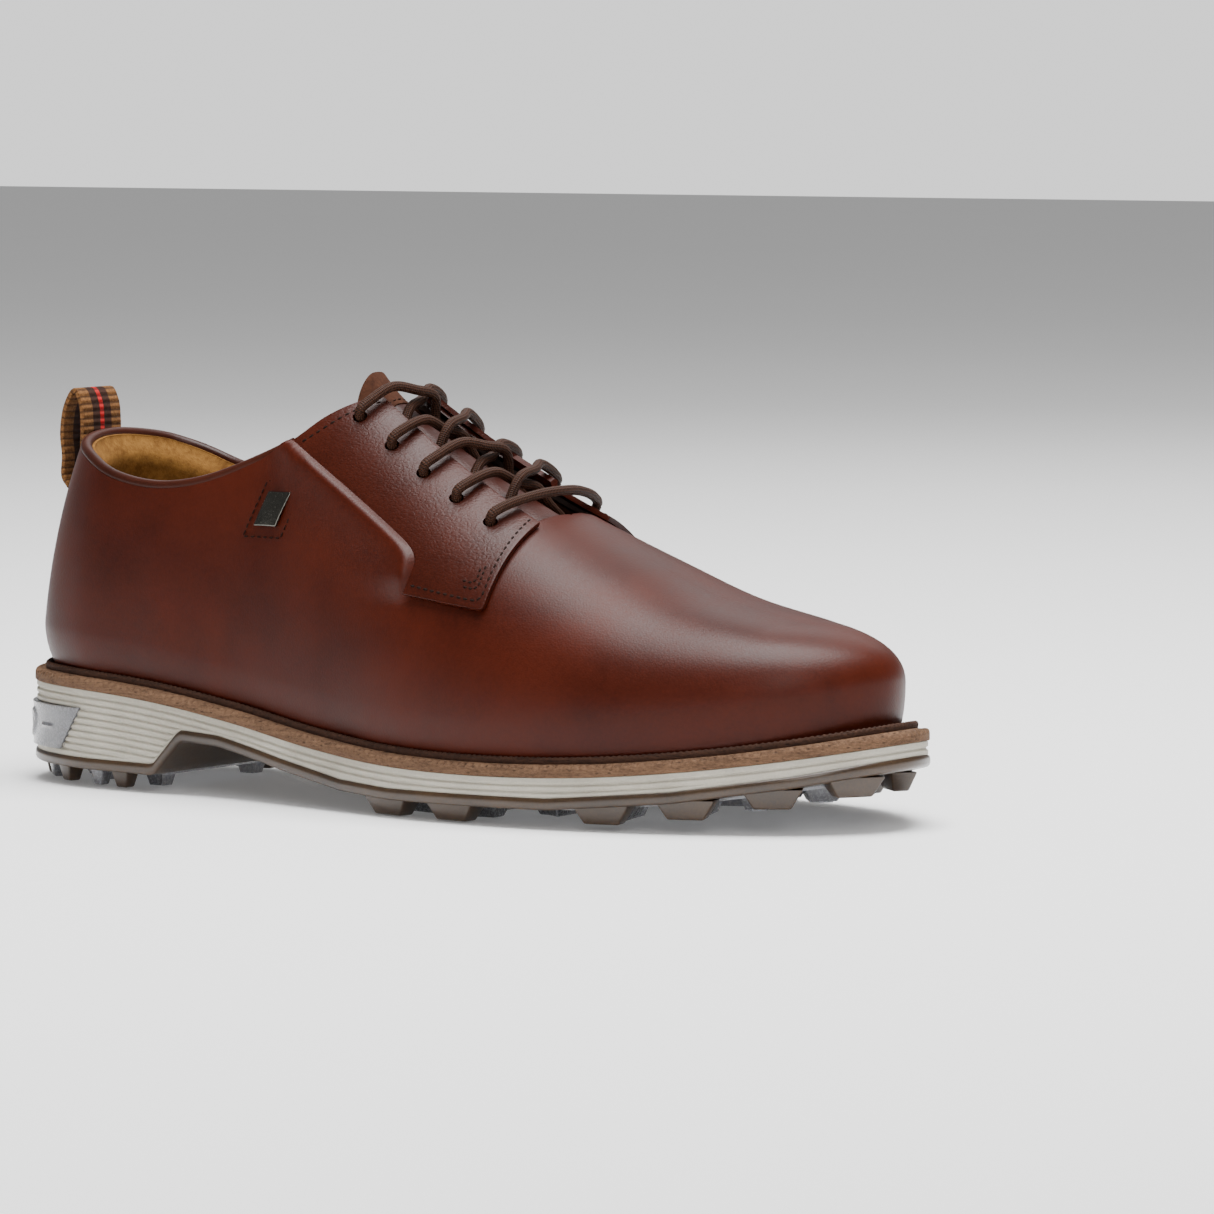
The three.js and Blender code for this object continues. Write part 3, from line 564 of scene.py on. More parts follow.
def scatter(name: str, model: bpy.types.Object, places: Sequence[Matrix]) -> bpy.types.Object:
    """One mesh of many copies of a small modelled shape, which is then removed.

    Args:
        name: The piece's name.
        model: The shape, at the origin, in millimetres.
        places: Where each copy goes, in millimetres on the last.

    Returns:
        The new object.
    """
    only(model)
    verts = np.empty(len(model.data.vertices) * 3)
    model.data.vertices.foreach_get("co", verts)
    verts = verts.reshape(-1, 3)
    faces = [list(f.vertices) for f in model.data.polygons]
    all_verts, all_faces = [], []
    for i, place in enumerate(places):
        m = np.array(place)
        all_verts.append(PLACE(verts @ m[:3, :3].T + m[:3, 3]))
        all_faces.extend([[k + i * len(verts) for k in f] for f in faces])
    mesh = bpy.data.meshes.new(name)
    mesh.from_pydata(np.vstack(all_verts).tolist(), [], all_faces)
    obj = bpy.data.objects.new(name, mesh)
    bpy.context.scene.collection.objects.link(obj)
    bpy.data.objects.remove(model)
    return smooth(obj, 50)


def along(path: Array, up: Array, pitch: float) -> list[Matrix]:
    """Places at even steps along a path, with x along it and z up from the surface."""
    points = resample(path, pitch)
    run = np.linspace(0, 1, len(path))
    at = np.linspace(0, 1, len(points))
    ups = np.stack([np.interp(at, run, up[:, k]) for k in range(3)], -1)
    places = []
    for i in range(len(points) - 1):
        mid = (points[i] + points[i + 1]) / 2
        x = Vector(points[i + 1] - points[i]).normalized()
        z = Vector((ups[i] + ups[i + 1]) / 2)
        z = (z - x * z.dot(x)).normalized()
        y = z.cross(x)
        places.append(Matrix(((x.x, y.x, z.x, mid[0]), (x.y, y.y, z.y, mid[1]),
                              (x.z, y.z, z.z, mid[2]), (0, 0, 0, 1))))
    return places


def cross_ball(obj: bpy.types.Object, behind: float, ahead: float) -> None:
    """Bakes a piece's transform into its mesh; the piece is not bent across the ball of the foot.

    Args:
        obj: The piece.
        behind: Not used; the point placed this far behind the ball is thrown away.
        ahead: Not used; the point placed this far ahead of the ball is thrown away.
    """
    z = float(LAST.welt_z(LAST.ball)) + LAST.welt_t
    PLACE.point(LAST.ball - behind, 0, z)
    PLACE.point(LAST.ball + ahead, 0, z)
    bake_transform(obj)


def stitch_model(length: float, width: float) -> bpy.types.Object:
    """One stitch of thread, lying along x at the origin, in millimetres."""
    bpy.ops.mesh.primitive_uv_sphere_add(segments=8, ring_count=5, radius=0.5)
    obj = bpy.context.active_object
    edit(obj, lambda: bpy.ops.transform.rotate(value=math.pi / 2, orient_axis="Y",
                                               center_override=(0, 0, 0)),
         lambda: bpy.ops.transform.resize(value=(length, width, width * 0.8)))
    return obj


@dataclass(frozen=True)
class Seam:
    """A row of stitches along a line on the surface."""

    pitch: float = 2.6
    gap: float = 0.28
    width: float = 0.6
    sink: float = 0.12

    def sew(self, name: str, path: Array, normal: Array) -> bpy.types.Object:
        """Sews the row.

        Args:
            name: The piece's name.
            path: The line, in millimetres.
            normal: The surface's outward normal at each point.

        Returns:
            The stitches as one object.
        """
        places = along(path - normal * self.sink, normal, self.pitch)
        return scatter(name, stitch_model(self.pitch * (1 - self.gap), self.width), places)


# ---- Finishes -------------------------------------------------------------------------


class Wire:
    """A shader socket that takes part in sums."""

    def __init__(self, graph: "Graph", socket: bpy.types.NodeSocket) -> None:
        """Wraps an output socket of a graph."""
        self.graph = graph
        self.socket = socket

    def _math(self, operation: str, a: object, b: object = None) -> "Wire":
        """A Math node on one or two values."""
        inputs = {0: a} if b is None else {0: a, 1: b}
        return self.graph.node("ShaderNodeMath", {"operation": operation}, inputs)

    def __add__(self, other: object) -> "Wire":
        """self + other."""
        return self._math("ADD", self, other)

    __radd__ = __add__

    def __sub__(self, other: object) -> "Wire":
        """self - other."""
        return self._math("SUBTRACT", self, other)

    def __rsub__(self, other: object) -> "Wire":
        """other - self."""
        return self._math("SUBTRACT", other, self)

    def __mul__(self, other: object) -> "Wire":
        """self * other."""
        return self._math("MULTIPLY", self, other)

    __rmul__ = __mul__

    def sin(self) -> "Wire":
        """The sine."""
        return self._math("SINE", self)

    def absolute(self) -> "Wire":
        """The absolute value."""
        return self._math("ABSOLUTE", self)


class Graph:
    """A material's nodes."""

    def __init__(self, name: str) -> None:
        """Starts a material with a Principled shader."""
        self.material = bpy.data.materials.new(name)
        self.material.use_nodes = True
        self.tree = self.material.node_tree
        self.shader = self.tree.nodes["Principled BSDF"]

    def node(self, kind: str, settings: dict[str, object] | None = None,
             inputs: dict[str | int, object] | None = None, output: str | int = 0) -> Wire:
        """Adds a node.

        Args:
            kind: Its type.
            settings: Its properties.
            inputs: Values or wires for its sockets.
            output: The socket that is returned.

        Returns:
            The output, as a wire.
        """
        made = self.tree.nodes.new(kind)
        for key, value in (settings or {}).items():
            setattr(made, key, value)
        for key, value in (inputs or {}).items():
            self.feed(made.inputs[key], value)
        return Wire(self, made.outputs[output])

    def feed(self, socket: bpy.types.NodeSocket, value: object) -> None:
        """Links a wire to a socket, or sets the socket's value."""
        if isinstance(value, Wire):
            self.tree.links.new(value.socket, socket)
        elif hasattr(socket.default_value, "__len__") and len(socket.default_value) == 4:
            socket.default_value = (*value, 1) if len(value) == 3 else value
        else:
            socket.default_value = value

    def place(self, scale: Sequence[float] = (1, 1, 1)) -> Wire:
        """Object coordinates, stretched by a scale."""
        at = self.node("ShaderNodeTexCoord", output="Object")
        return self.node("ShaderNodeMapping", inputs={"Vector": at, "Scale": scale})

    def noise(self, where: Wire, scale: float, detail: float = 3, rough: float = 0.5,
              distortion: float = 0) -> Wire:
        """Fractal noise from 0 to 1."""
        return self.node("ShaderNodeTexNoise", inputs={
            "Vector": where, "Scale": scale, "Detail": detail, "Roughness": rough,
            "Distortion": distortion})

    def cells(self, where: Wire, scale: float, feature: str = "F1") -> Wire:
        """Distance to the nearest of scattered points."""
        return self.node("ShaderNodeTexVoronoi", {"feature": feature},
                         {"Vector": where, "Scale": scale}, "Distance")

    def level(self, value: Wire, low: float, high: float, to_low: float = 0,
              to_high: float = 1) -> Wire:
        """The value moved from one range to another, held at its ends."""
        return self.node("ShaderNodeMapRange", inputs={
            "Value": value, "From Min": low, "From Max": high, "To Min": to_low,
            "To Max": to_high})

    def mix(self, share: Wire | float, a: object, b: object) -> Wire:
        """Two colours mixed."""
        return self.node("ShaderNodeMix", {"data_type": "RGBA"}, {0: share, 6: a, 7: b}, 2)

    def bump(self, height: Wire, strength: float, depth_mm: float,
             base: Wire | None = None) -> Wire:
        """A normal bent by a height."""
        inputs = {"Height": height, "Strength": strength, "Distance": depth_mm / 1000}
        if base is not None:
            inputs["Normal"] = base
        return self.node("ShaderNodeBump", inputs=inputs)

    def finish(self, **inputs: object) -> bpy.types.Material:
        """Feeds the shader's sockets, named with _ for a space, and gives the material."""
        for key, value in inputs.items():
            self.feed(self.shader.inputs[key.replace("_", " ")], value)
        return self.material


RGB = tuple[float, float, float]


@dataclass(frozen=True)
class Leather:
    """Smooth waxed leather with fine grain and, where asked, milled wrinkles."""

    name: str
    dark: RGB = (0.031, 0.0036, 0.0008)
    light: RGB = (0.057, 0.0072, 0.0016)
    rough: float = 0.4
    wrinkle: float = 0.0
    grain: float = 0.25

    def make(self) -> bpy.types.Material:
        """The material."""
        g = Graph(self.name)
        at = g.place()
        cloud = g.noise(at, 26, 3, 0.55, 0.4)
        speck = g.noise(at, 900, 2, 0.6)
        tone = g.level(cloud * 0.75 + speck * 0.25, 0.34, 0.64)
        colour = g.mix(tone, self.dark, self.light)
        pore = g.cells(at, 1500, "F1")
        grain = g.level(pore, 0.0, 0.7) * 0.6 + g.noise(at, 2300, 2, 0.5) * 0.4
        normal = g.bump(grain, self.grain, 0.12)
        if self.wrinkle > 0:
            fold = g.cells(g.place((1.0, 1.0, 1.6)), 560, "DISTANCE_TO_EDGE")
            crease = g.level(fold, 0.0, 0.25) * 0.35 + g.noise(at, 240, 5, 0.65, 1.6) * 0.75
            normal = g.bump(crease, self.wrinkle, 0.5, normal)
        swell = g.noise(at, 42, 2, 0.5, 0.3)
        normal = g.bump(swell, 0.12, 1.2, normal)
        rough = g.level(speck * 0.4 + cloud * 0.6, 0.3, 0.7, self.rough - 0.05, self.rough + 0.07)
        return g.finish(Base_Color=colour, Roughness=rough, Normal=normal,
                        Specular_IOR_Level=0.17)


@dataclass(frozen=True)
class Nap:
    """Brushed nubuck or suede microfibre."""

    name: str
    dark: RGB
    light: RGB
    nap: float = 500

    def make(self) -> bpy.types.Material:
        """The material."""
        g = Graph(self.name)
        at = g.place()
        tone = g.noise(at, 60, 4, 0.6, 0.5) * 0.5 + g.noise(at, self.nap, 3, 0.7) * 0.5
        colour = g.mix(g.level(tone, 0.36, 0.64), self.dark, self.light)
        normal = g.bump(g.noise(at, self.nap * 3, 3, 0.7), 0.5, 0.25)
        return g.finish(Base_Color=colour, Roughness=0.92, Normal=normal, Sheen_Weight=0.35,
                        Sheen_Roughness=0.4, Sheen_Tint=(*self.light, 1), Specular_IOR_Level=0.15)


@dataclass(frozen=True)
class StackedLeather:
    """The raw edge of stacked leather, in long fibrous streaks."""

    name: str
    dark: RGB = (0.055, 0.027, 0.014)
    light: RGB = (0.20, 0.11, 0.06)

    def make(self) -> bpy.types.Material:
        """The material."""
        g = Graph(self.name)
        streak = g.noise(g.place((1, 1, 9)), 90, 6, 0.75, 0.6)
        fleck = g.noise(g.place((1, 1, 3)), 700, 4, 0.8)
        pit = g.cells(g.place((0.6, 0.6, 1.6)), 520)
        tone = g.level(streak * 0.45 + fleck * 0.55, 0.38, 0.64)
        colour = g.mix(tone, self.dark, self.light)
        # The pits are painted near-black: painted shade in their hollows.
        colour = g.mix(g.level(pit, 0.10, 0.22, 0.75, 0), colour, (0.02, 0.008, 0.004))
        height = streak * 0.4 + fleck * 0.6 + g.level(pit, 0.08, 0.3) * 0.5
        return g.finish(Base_Color=colour, Roughness=0.82, Normal=g.bump(height, 0.8, 0.35),
                        Specular_IOR_Level=0.25)


@dataclass(frozen=True)
class Moulded:
    """Moulded foam, rubber or plastic with a fine skin."""

    name: str
    dark: RGB
    light: RGB
    rough: float = 0.55
    texture: float = 0.2
    glow: float = 0.0
    coat: float = 0.0
    metal: float = 0.0
    shine: float = 0.5

    def make(self) -> bpy.types.Material:
        """The material."""
        g = Graph(self.name)
        at = g.place()
        cloud = g.noise(at, 45, 3, 0.5, 0.3)
        fine = g.noise(at, 1400, 3, 0.6)
        colour = g.mix(g.level(cloud * 0.6 + fine * 0.4, 0.36, 0.62), self.dark, self.light)
        rough = g.level(fine, 0.3, 0.7, self.rough - 0.06, self.rough + 0.08)
        return g.finish(Base_Color=colour, Roughness=rough, Normal=g.bump(fine, self.texture, 0.12),
                        Subsurface_Weight=self.glow, Subsurface_Radius=(0.004, 0.003, 0.002),
                        Subsurface_Scale=1.0, Coat_Weight=self.coat, Coat_Roughness=0.15,
                        Metallic=self.metal, Specular_IOR_Level=self.shine)


# Dark waxed thread: its two colours, roughness, texture, glow, coat, metal and shine.
THREAD = ((0.006, 0.003, 0.002), (0.018, 0.007, 0.004), 0.8, 0.4, 0.0, 0.0, 0.0, 0.1)


@dataclass(frozen=True)
class Braid:
    """A round braided cord, patterned along its own length."""

    name: str
    length: float
    around: float = 8.8
    dark: RGB = (0.008, 0.0024, 0.0010)
    light: RGB = (0.060, 0.0195, 0.0075)

    def make(self) -> bpy.types.Material:
        """The material."""
        g = Graph(self.name)
        turn = 2 * math.pi
        at = g.node("ShaderNodeTexCoord", output="UV")
        x = g.node("ShaderNodeSeparateXYZ", inputs={0: at}, output="X")
        y = g.node("ShaderNodeSeparateXYZ", inputs={0: at}, output="Y")
        picks = self.length / 1.15
        a = (x * (turn * picks) + y * (turn * 6)).sin()
        b = (x * (turn * picks) - y * (turn * 6)).sin()
        strand = a * b
        fuzz = g.noise(g.place(), 1600, 3, 0.7)
        # Crests of the strands are painted lighter and the grooves between them darker: painted
        # shade, mixed with random fuzz in the yarn's tone.
        tone = g.level(strand + (fuzz - 0.5) * 0.9, -0.8, 0.9)
        colour = g.mix(tone, self.dark, self.light)
        height = g.level(strand, -1, 1) + fuzz * 0.4
        return g.finish(Base_Color=colour, Roughness=0.62, Normal=g.bump(height, 0.75, 0.3),
                        Specular_IOR_Level=0.18)


@dataclass(frozen=True)
class Webbing:
    """Ribbed woven tape with coloured stripes, patterned across its own width."""

    name: str
    length: float

    def make(self) -> bpy.types.Material:
        """The material."""
        g = Graph(self.name)
        at = g.node("ShaderNodeTexCoord", output="UV")
        x = g.node("ShaderNodeSeparateXYZ", inputs={0: at}, output="X")
        y = g.node("ShaderNodeSeparateXYZ", inputs={0: at}, output="Y")
        off = (y - 0.5).absolute()
        dark_band = g.level(off, 0.235, 0.25, 1, 0)
        red_band = g.level(off, 0.045, 0.055, 1, 0)
        rib = (x * (2 * math.pi * self.length / 2.1)).sin()
        yarn = (y * (2 * math.pi * 30)).sin()
        fuzz = g.noise(g.place(), 1500, 3, 0.7)
        base = g.mix(g.level(fuzz, 0.3, 0.7), (0.09, 0.036, 0.010), (0.24, 0.105, 0.034))
        colour = g.mix(dark_band, base, (0.035, 0.012, 0.006))
        colour = g.mix(red_band, colour, (0.42, 0.012, 0.012))
        # The troughs between the ribs are painted near-black: painted shade.
        colour = g.mix(g.level(rib, -1, -0.35, 0.65, 0), colour, (0.012, 0.005, 0.003))
        height = g.level(rib, -1, 1) + yarn * 0.15 + fuzz * 0.3
        return g.finish(Base_Color=colour, Roughness=0.85, Normal=g.bump(height, 0.8, 0.45),
                        Specular_IOR_Level=0.2)


# ---- Upper ----------------------------------------------------------------------------


@dataclass
class Upper:
    """The one-piece leather upper, its lining and its collar."""

    columns: int = 420
    rows: int = 84
    leather_t: float = 1.6
    lining_t: float = 1.1
    lining_depth: float = 4.9
    ridge_height: float = 3.8
    ridge_reach: float = 8.0
    ridge_roll: tuple[float, float] = (-2.0, 2.4)
    ridge_fade: tuple[float, float] = (94, 113)
    corner: float = 0.42
    close_columns: tuple = ((161, 171), (180, 192))
    collar_end: float = 110.0
    binding_end: float = 108.5
    throat: tuple[float, float] = (183.5, 188.0)
    under_line: tuple = ((110, 101.5), (166.5, 72.0), (189.5, 57.4))
    collar_swell: float = 3.0
    collar_thin: float = 2.2
    binding_r: float = 1.7
    leather: Leather = field(default_factory=lambda: Leather("upper_leather"))
    piping: Leather = field(default_factory=lambda: Leather(
        "piping_leather", (0.022, 0.0045, 0.002), (0.042, 0.009, 0.004), 0.36))
    suede: Nap = field(default_factory=lambda: Nap(
        "microfibre", (0.11, 0.045, 0.009), (0.26, 0.125, 0.03)))

    def shares(self) -> Array:
        """Columns round the sole, closer together where the facings end."""
        near = np.concatenate([np.arange(*span_x, 0.5) for span_x in self.close_columns])
        extra = [LAST.share_at(side, near) for side in Side]
        return np.unique(np.round(np.concatenate(
            [np.linspace(0, 1, self.columns + 1), *extra]), 7))

    def top_phi(self, share: Array, drop: float = 0.0, under: float = 5.0) -> Array:
        """The upper's top edge: the collar, the line under the facings, then the spine.

        Args:
            share: Columns round the sole.
            drop: How far the collar's edge is lowered.
            under: How far the leather runs on under the facings.

        Returns:
            Radians round the section.
        """
        foot = LAST.edge(share, LAST.inset)[:, 0]
        x = foot.copy()
        for _ in range(8):
            phi = LAST.phi_at(share, LAST.top_z(x) - drop)
            x = LAST.raw(share, phi)[:, 0]
        line = straight(self.under_line)(foot)
        line += under * ease(self.collar_end, self.collar_end + 8, foot)
        collar = foot < self.collar_end
        low = LAST.phi_at(share, np.where(collar, LAST.top_z(foot) - drop, line))
        phi = np.where(collar, phi, low)
        past = ease(*self.throat, foot)
        return phi * (1 - past) + math.radians(90) * past

    def ridge_raise(self, points: Array) -> Array:
        """How far the padded ridge beside a facing lifts the surface."""
        top, corner, low = (np.array(p, float) for p in LAST.ridge)
        at = points[..., [0, 2]]
        crowd = 0.0
        for a, b in ((top, corner), (corner, low)):
            d = (b - a) / np.linalg.norm(b - a)
            beyond = (at - a) @ np.array([d[1], -d[0]])
            crowd = crowd + np.exp(np.clip(-beyond * self.corner, -40, 40))
        off = -np.log(crowd) / self.corner
        fade = ease(*self.ridge_fade, at[..., 0]) * ease(low[1] - 4, low[1] + 5, at[..., 1])
        behind = np.exp(-(np.maximum(off - self.ridge_roll[1], 0) / self.ridge_reach) ** 1.3)
        return self.ridge_height * fade * behind * ease(*self.ridge_roll, off)

    def sheet(self, name: str, drop: float, depth: Callable[[Array, Array], Array],
              under: float = 5.0) -> bpy.types.Object:
        """A sheet over the whole upper at a depth that varies.

        Args:
            name: The piece's name.
            drop: How far its collar edge is lowered.
            depth: Gives the depth from surface points and the height below the top edge.
            under: How far it runs on under the facings.

        Returns:
            The sheet.
        """
        share = self.shares()
        top = self.top_phi(share, drop, under)
        v = 1 - (1 - np.linspace(0, 1, self.rows + 1)) ** 1.45
        low = math.radians(-LAST.tuck)
        phi = low + (top[:, None] - low) * v[None, :]
        wide = np.repeat(share[:, None], len(v), 1)
        points = LAST.raw(wide, phi)
        below = points[:, -1:, 2] - points[..., 2]
        return grid(name, LAST.skin(wide, phi, depth(points, below)), 0.03)

    def build_leather(self) -> None:
        """The outer leather, whose padded rear part ends in a ridge beside each facing."""
        obj = self.sheet("upper_leather", 0.0, lambda p, _: -self.ridge_raise(p))
        shell(obj, self.leather_t, -1, 0.3)
        obj.data.materials.append(self.leather.make())
        cross_ball(obj, 12, 26)
        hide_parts("quarters", "vamp", "vamp_flex_panel")

    def build_lining(self) -> None:
        """The suede lining, swollen by the foam round the collar."""

        def depth(points: Array, below: Array) -> Array:
            """Deeper in a band below the collar."""
            at_collar = 1 - ease(96, 112, points[..., 0])
            swell = ease(-1, 7, below) * (1 - ease(12, 34, below))
            thin = self.collar_thin * (1 - ease(0, 5, below))
            return self.lining_depth + (self.collar_swell * swell - thin) * at_collar

        obj = self.sheet("lining", -1.2, depth, 3.0)
        shell(obj, self.lining_t, -1, 0.2)
        obj.data.materials.append(self.suede.make())
        cross_ball(obj, 12, 26)
        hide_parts("lining_rear", "lining_flex_panel", "lining_front")

    def collar_path(self) -> tuple[Array, Array]:
        """The collar's edge from the outer ridge round to the inner one, and its normals."""
        start = LAST.share_at(Side.OUTER, self.binding_end)
        end = LAST.share_at(Side.INNER, self.binding_end) - 1
        share = np.linspace(float(start), float(end), 260)
        phi = self.top_phi(share % 1)
        return LAST.skin(share, phi, self.leather_t + 0.2), LAST.normal(share, phi)

    def build_binding(self) -> None:
        """The rolled piping round the collar."""
        path, normal = self.collar_path()
        path = path + np.array([0, 0, self.binding_r * 0.55])
        obj = tube("collar_binding_roll", path, self.binding_r, 16, normal)
        obj.data.materials.append(self.piping.make())
        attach(obj, REAR)
        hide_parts("collar_binding")

    def build(self) -> None:
        """Builds the whole upper."""
        self.build_leather()
        LOG.info("upper leather")
        self.build_lining()
        LOG.info("lining")
        self.build_binding()
        LOG.info("collar binding")


@dataclass
class Facing:
    """One eyelet facing, with its stitching."""

    side: Side
    columns: int = 66
    rows: int = 54
    leather_t: float = 1.5
    outer: float = 1.9
    lace_top: float = 128.5
    lace_foot: float = 188.4
    steps: int = 80
    leather: Leather = field(default_factory=lambda: Leather(
        "facing_leather", (0.026, 0.0034, 0.0010), (0.048, 0.0066, 0.0018), 0.38, 0.16, 0.3))
    seam: Seam = field(default_factory=lambda: Seam(2.3, 0.3, 0.75, 0.05))

    @property
    def label(self) -> str:
        """The side's name."""
        return "lateral" if self.side is Side.OUTER else "medial"

    def lace_phi(self, x: Array) -> Array:
        """Degrees round the section at the lace edge."""
        share = LAST.share_at(self.side, x)
        base = LAST.edge(share, LAST.inset)
        reach = LAST.lace_gap(x) / np.abs(base[..., 1] - LAST.spine_y(x))
        power = through(LAST.power_line)(x)
        return np.degrees(np.arccos(reach ** (1 / power) * math.cos(math.radians(LAST.tuck))))

    def seen_phi(self, x: Array, z: Array) -> Array:
        """Degrees round the section at a height in the side view."""
        return np.degrees(LAST.phi_at(LAST.share_at(self.side, x), z))

    def edges(self) -> dict[str, Array]:
        """The four edges in x and degrees: ridge, lace, top and front."""
        t = np.linspace(0, 1, self.steps)
        seam = np.array(LAST.ridge, float) - np.array([0.8, 0.5])
        line = np.stack([np.interp(t, [0, 0.83, 1], seam[:, k]) for k in (0, 1)], 1)
        relax(line, 14)
        ridge = np.stack([line[:, 0], self.seen_phi(line[:, 0], line[:, 1])], 1)
        lx = self.lace_top + (self.lace_foot - self.lace_top) * t
        lace = np.stack([lx, self.lace_phi(lx)], 1)
        tx = np.linspace(ridge[0, 0], self.lace_top, self.steps)
        top = np.stack([tx, self.seen_phi(tx, LAST.top_z(tx) - 0.2)], 1)
        top[-1] = lace[0]
        top[:, 1] = top[:, 1] + (lace[0, 1] - self.seen_phi(tx[-1:], LAST.top_z(tx[-1:]))[0]) * t**4
        half = self.steps // 2
        bx, bz = np.linspace(seam[-1], LAST.facing_corner, half).T
        bottom = np.stack([bx, self.seen_phi(bx, bz)], 1)
        front_phi = np.linspace(bottom[-1, 1], lace[-1, 1], half)
        front = np.stack([bx[-1] - 1.1 * np.linspace(0, 1, half), front_phi], 1)
        path = np.vstack([bottom, front[1:]])
        run = run_of(path)
        at = np.linspace(0, run[-1], self.steps)
        path = np.stack([np.interp(at, run, path[:, k]) for k in (0, 1)], 1)
        relax(path, 5)
        ridge[-1], path[0], path[-1] = path[0], path[0], lace[-1]
        ridge[0] = top[0]
        return {"ridge": ridge, "lace": lace, "top": top, "front": path}

    def at(self, u: Array, v: Array) -> tuple[Array, Array]:
        """The facing's area: u from the ridge to the lace edge, v from the top to the front.

        Args:
            u: Across.
            v: Along.

        Returns:
            x and degrees round the section.
        """
        e = self.edges()
        knots = np.linspace(0, 1, self.steps)

        def pick(edge: Array, t: Array) -> Array:
            """A point of an edge."""
            return np.stack([np.interp(t, knots, edge[:, k]) for k in (0, 1)], -1)

        ridge, lace = pick(e["ridge"], v), pick(e["lace"], v)
        top, front = pick(e["top"], u), pick(e["front"], u)
        u1, v1 = u[..., None], v[..., None]
        p = (1 - v1) * top + v1 * front + (1 - u1) * ridge + u1 * lace
        p -= ((1 - u1) * (1 - v1) * e["top"][0] + u1 * (1 - v1) * e["top"][-1]
              + (1 - u1) * v1 * e["front"][0] + u1 * v1 * e["front"][-1])
        return p[..., 0], p[..., 1]

    def on(self, u: Array, v: Array, depth: float) -> Array:
        """Points of the facing at a depth."""
        x, phi = self.at(np.asarray(u, float), np.asarray(v, float))
        return LAST.side_skin(self.side, x, phi, depth)

    def normal(self, u: Array, v: Array) -> Array:
        """Outward normals of the facing."""
        x, phi = self.at(np.asarray(u, float), np.asarray(v, float))
        return LAST.normal(LAST.share_at(self.side, x), np.radians(phi))

    def eyelet(self, k: int) -> tuple[Array, Array]:
        """An eyelet's centre on the facing and its outward normal."""
        x, phi = EYELETS.at(k)
        share = LAST.share_at(self.side, x)
        return (LAST.skin(share, math.radians(phi), -self.outer),
                LAST.normal(share, np.array(math.radians(phi))))

    def build_leather(self) -> None:
        """The facing with its punched eyelets."""
        u, v = np.meshgrid(np.linspace(0, 1, self.columns + 1), np.linspace(0, 1, self.rows + 1),
                           indexing="ij")
        obj = grid(f"facing_{self.label}_leather", self.on(u, v, -self.outer), 0)
        shell(obj, self.leather_t, -1, 0.45, 3)
        punches = []
        for k in range(EYELETS.count):
            centre, normal = self.eyelet(k)
            bpy.ops.mesh.primitive_cylinder_add(vertices=24, radius=EYELETS.radius / 1000,
                                                depth=0.01, location=PLACE(centre))
            punch = bpy.context.active_object
            punch.rotation_mode = "QUATERNION"
            punch.rotation_quaternion = Vector(normal).to_track_quat("Z", "Y")
            punches.append(punch)
        cutter = join("punches", punches)
        apply(obj, "BOOLEAN", operation="DIFFERENCE", object=cutter, solver="EXACT")
        bpy.data.objects.remove(cutter)
        smooth(obj, 35)
        obj.data.materials.append(self.leather.make())
        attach(obj, REAR)
        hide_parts(f"facing_{self.label}")

    def build_stitches(self) -> None:
        """The rows along the front and top edges, and the bar tack."""
        thread = Moulded("thread", *THREAD).make()
        u = np.linspace(0.02, 0.985, 90)
        top = np.linspace(0.08, 0.97, 60)
        for across, v, label in ((u, 0.957, "front"), (top, 0.035, "top")):
            along_it = v + 0 * across
            path = self.on(across, along_it, -self.outer)
            row = self.seam.sew(f"stitches_{label}_{self.label}", path,
                                self.normal(across, along_it))
            self.dress(row, thread)
        for i, v in enumerate((0.895, 0.862)):
            across = np.linspace(0.32, 0.56 - 0.05 * i, 20)
            path = self.on(across, v + 0 * across, -self.outer)
            row = Seam(1.7, 0.25, 0.75, 0.05).sew(f"bar_tack_{i}_{self.label}", path,
                                                self.normal(across, v + 0 * across))
            self.dress(row, thread)

    def dress(self, obj: bpy.types.Object, material: bpy.types.Material) -> None:
        """Gives a row of thread its finish and body."""
        obj.data.materials.append(material)
        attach(obj, REAR)

    def build(self) -> None:
        """Builds the facing."""
        self.build_leather()
        self.build_stitches()
        LOG.info("facing %s", self.label)


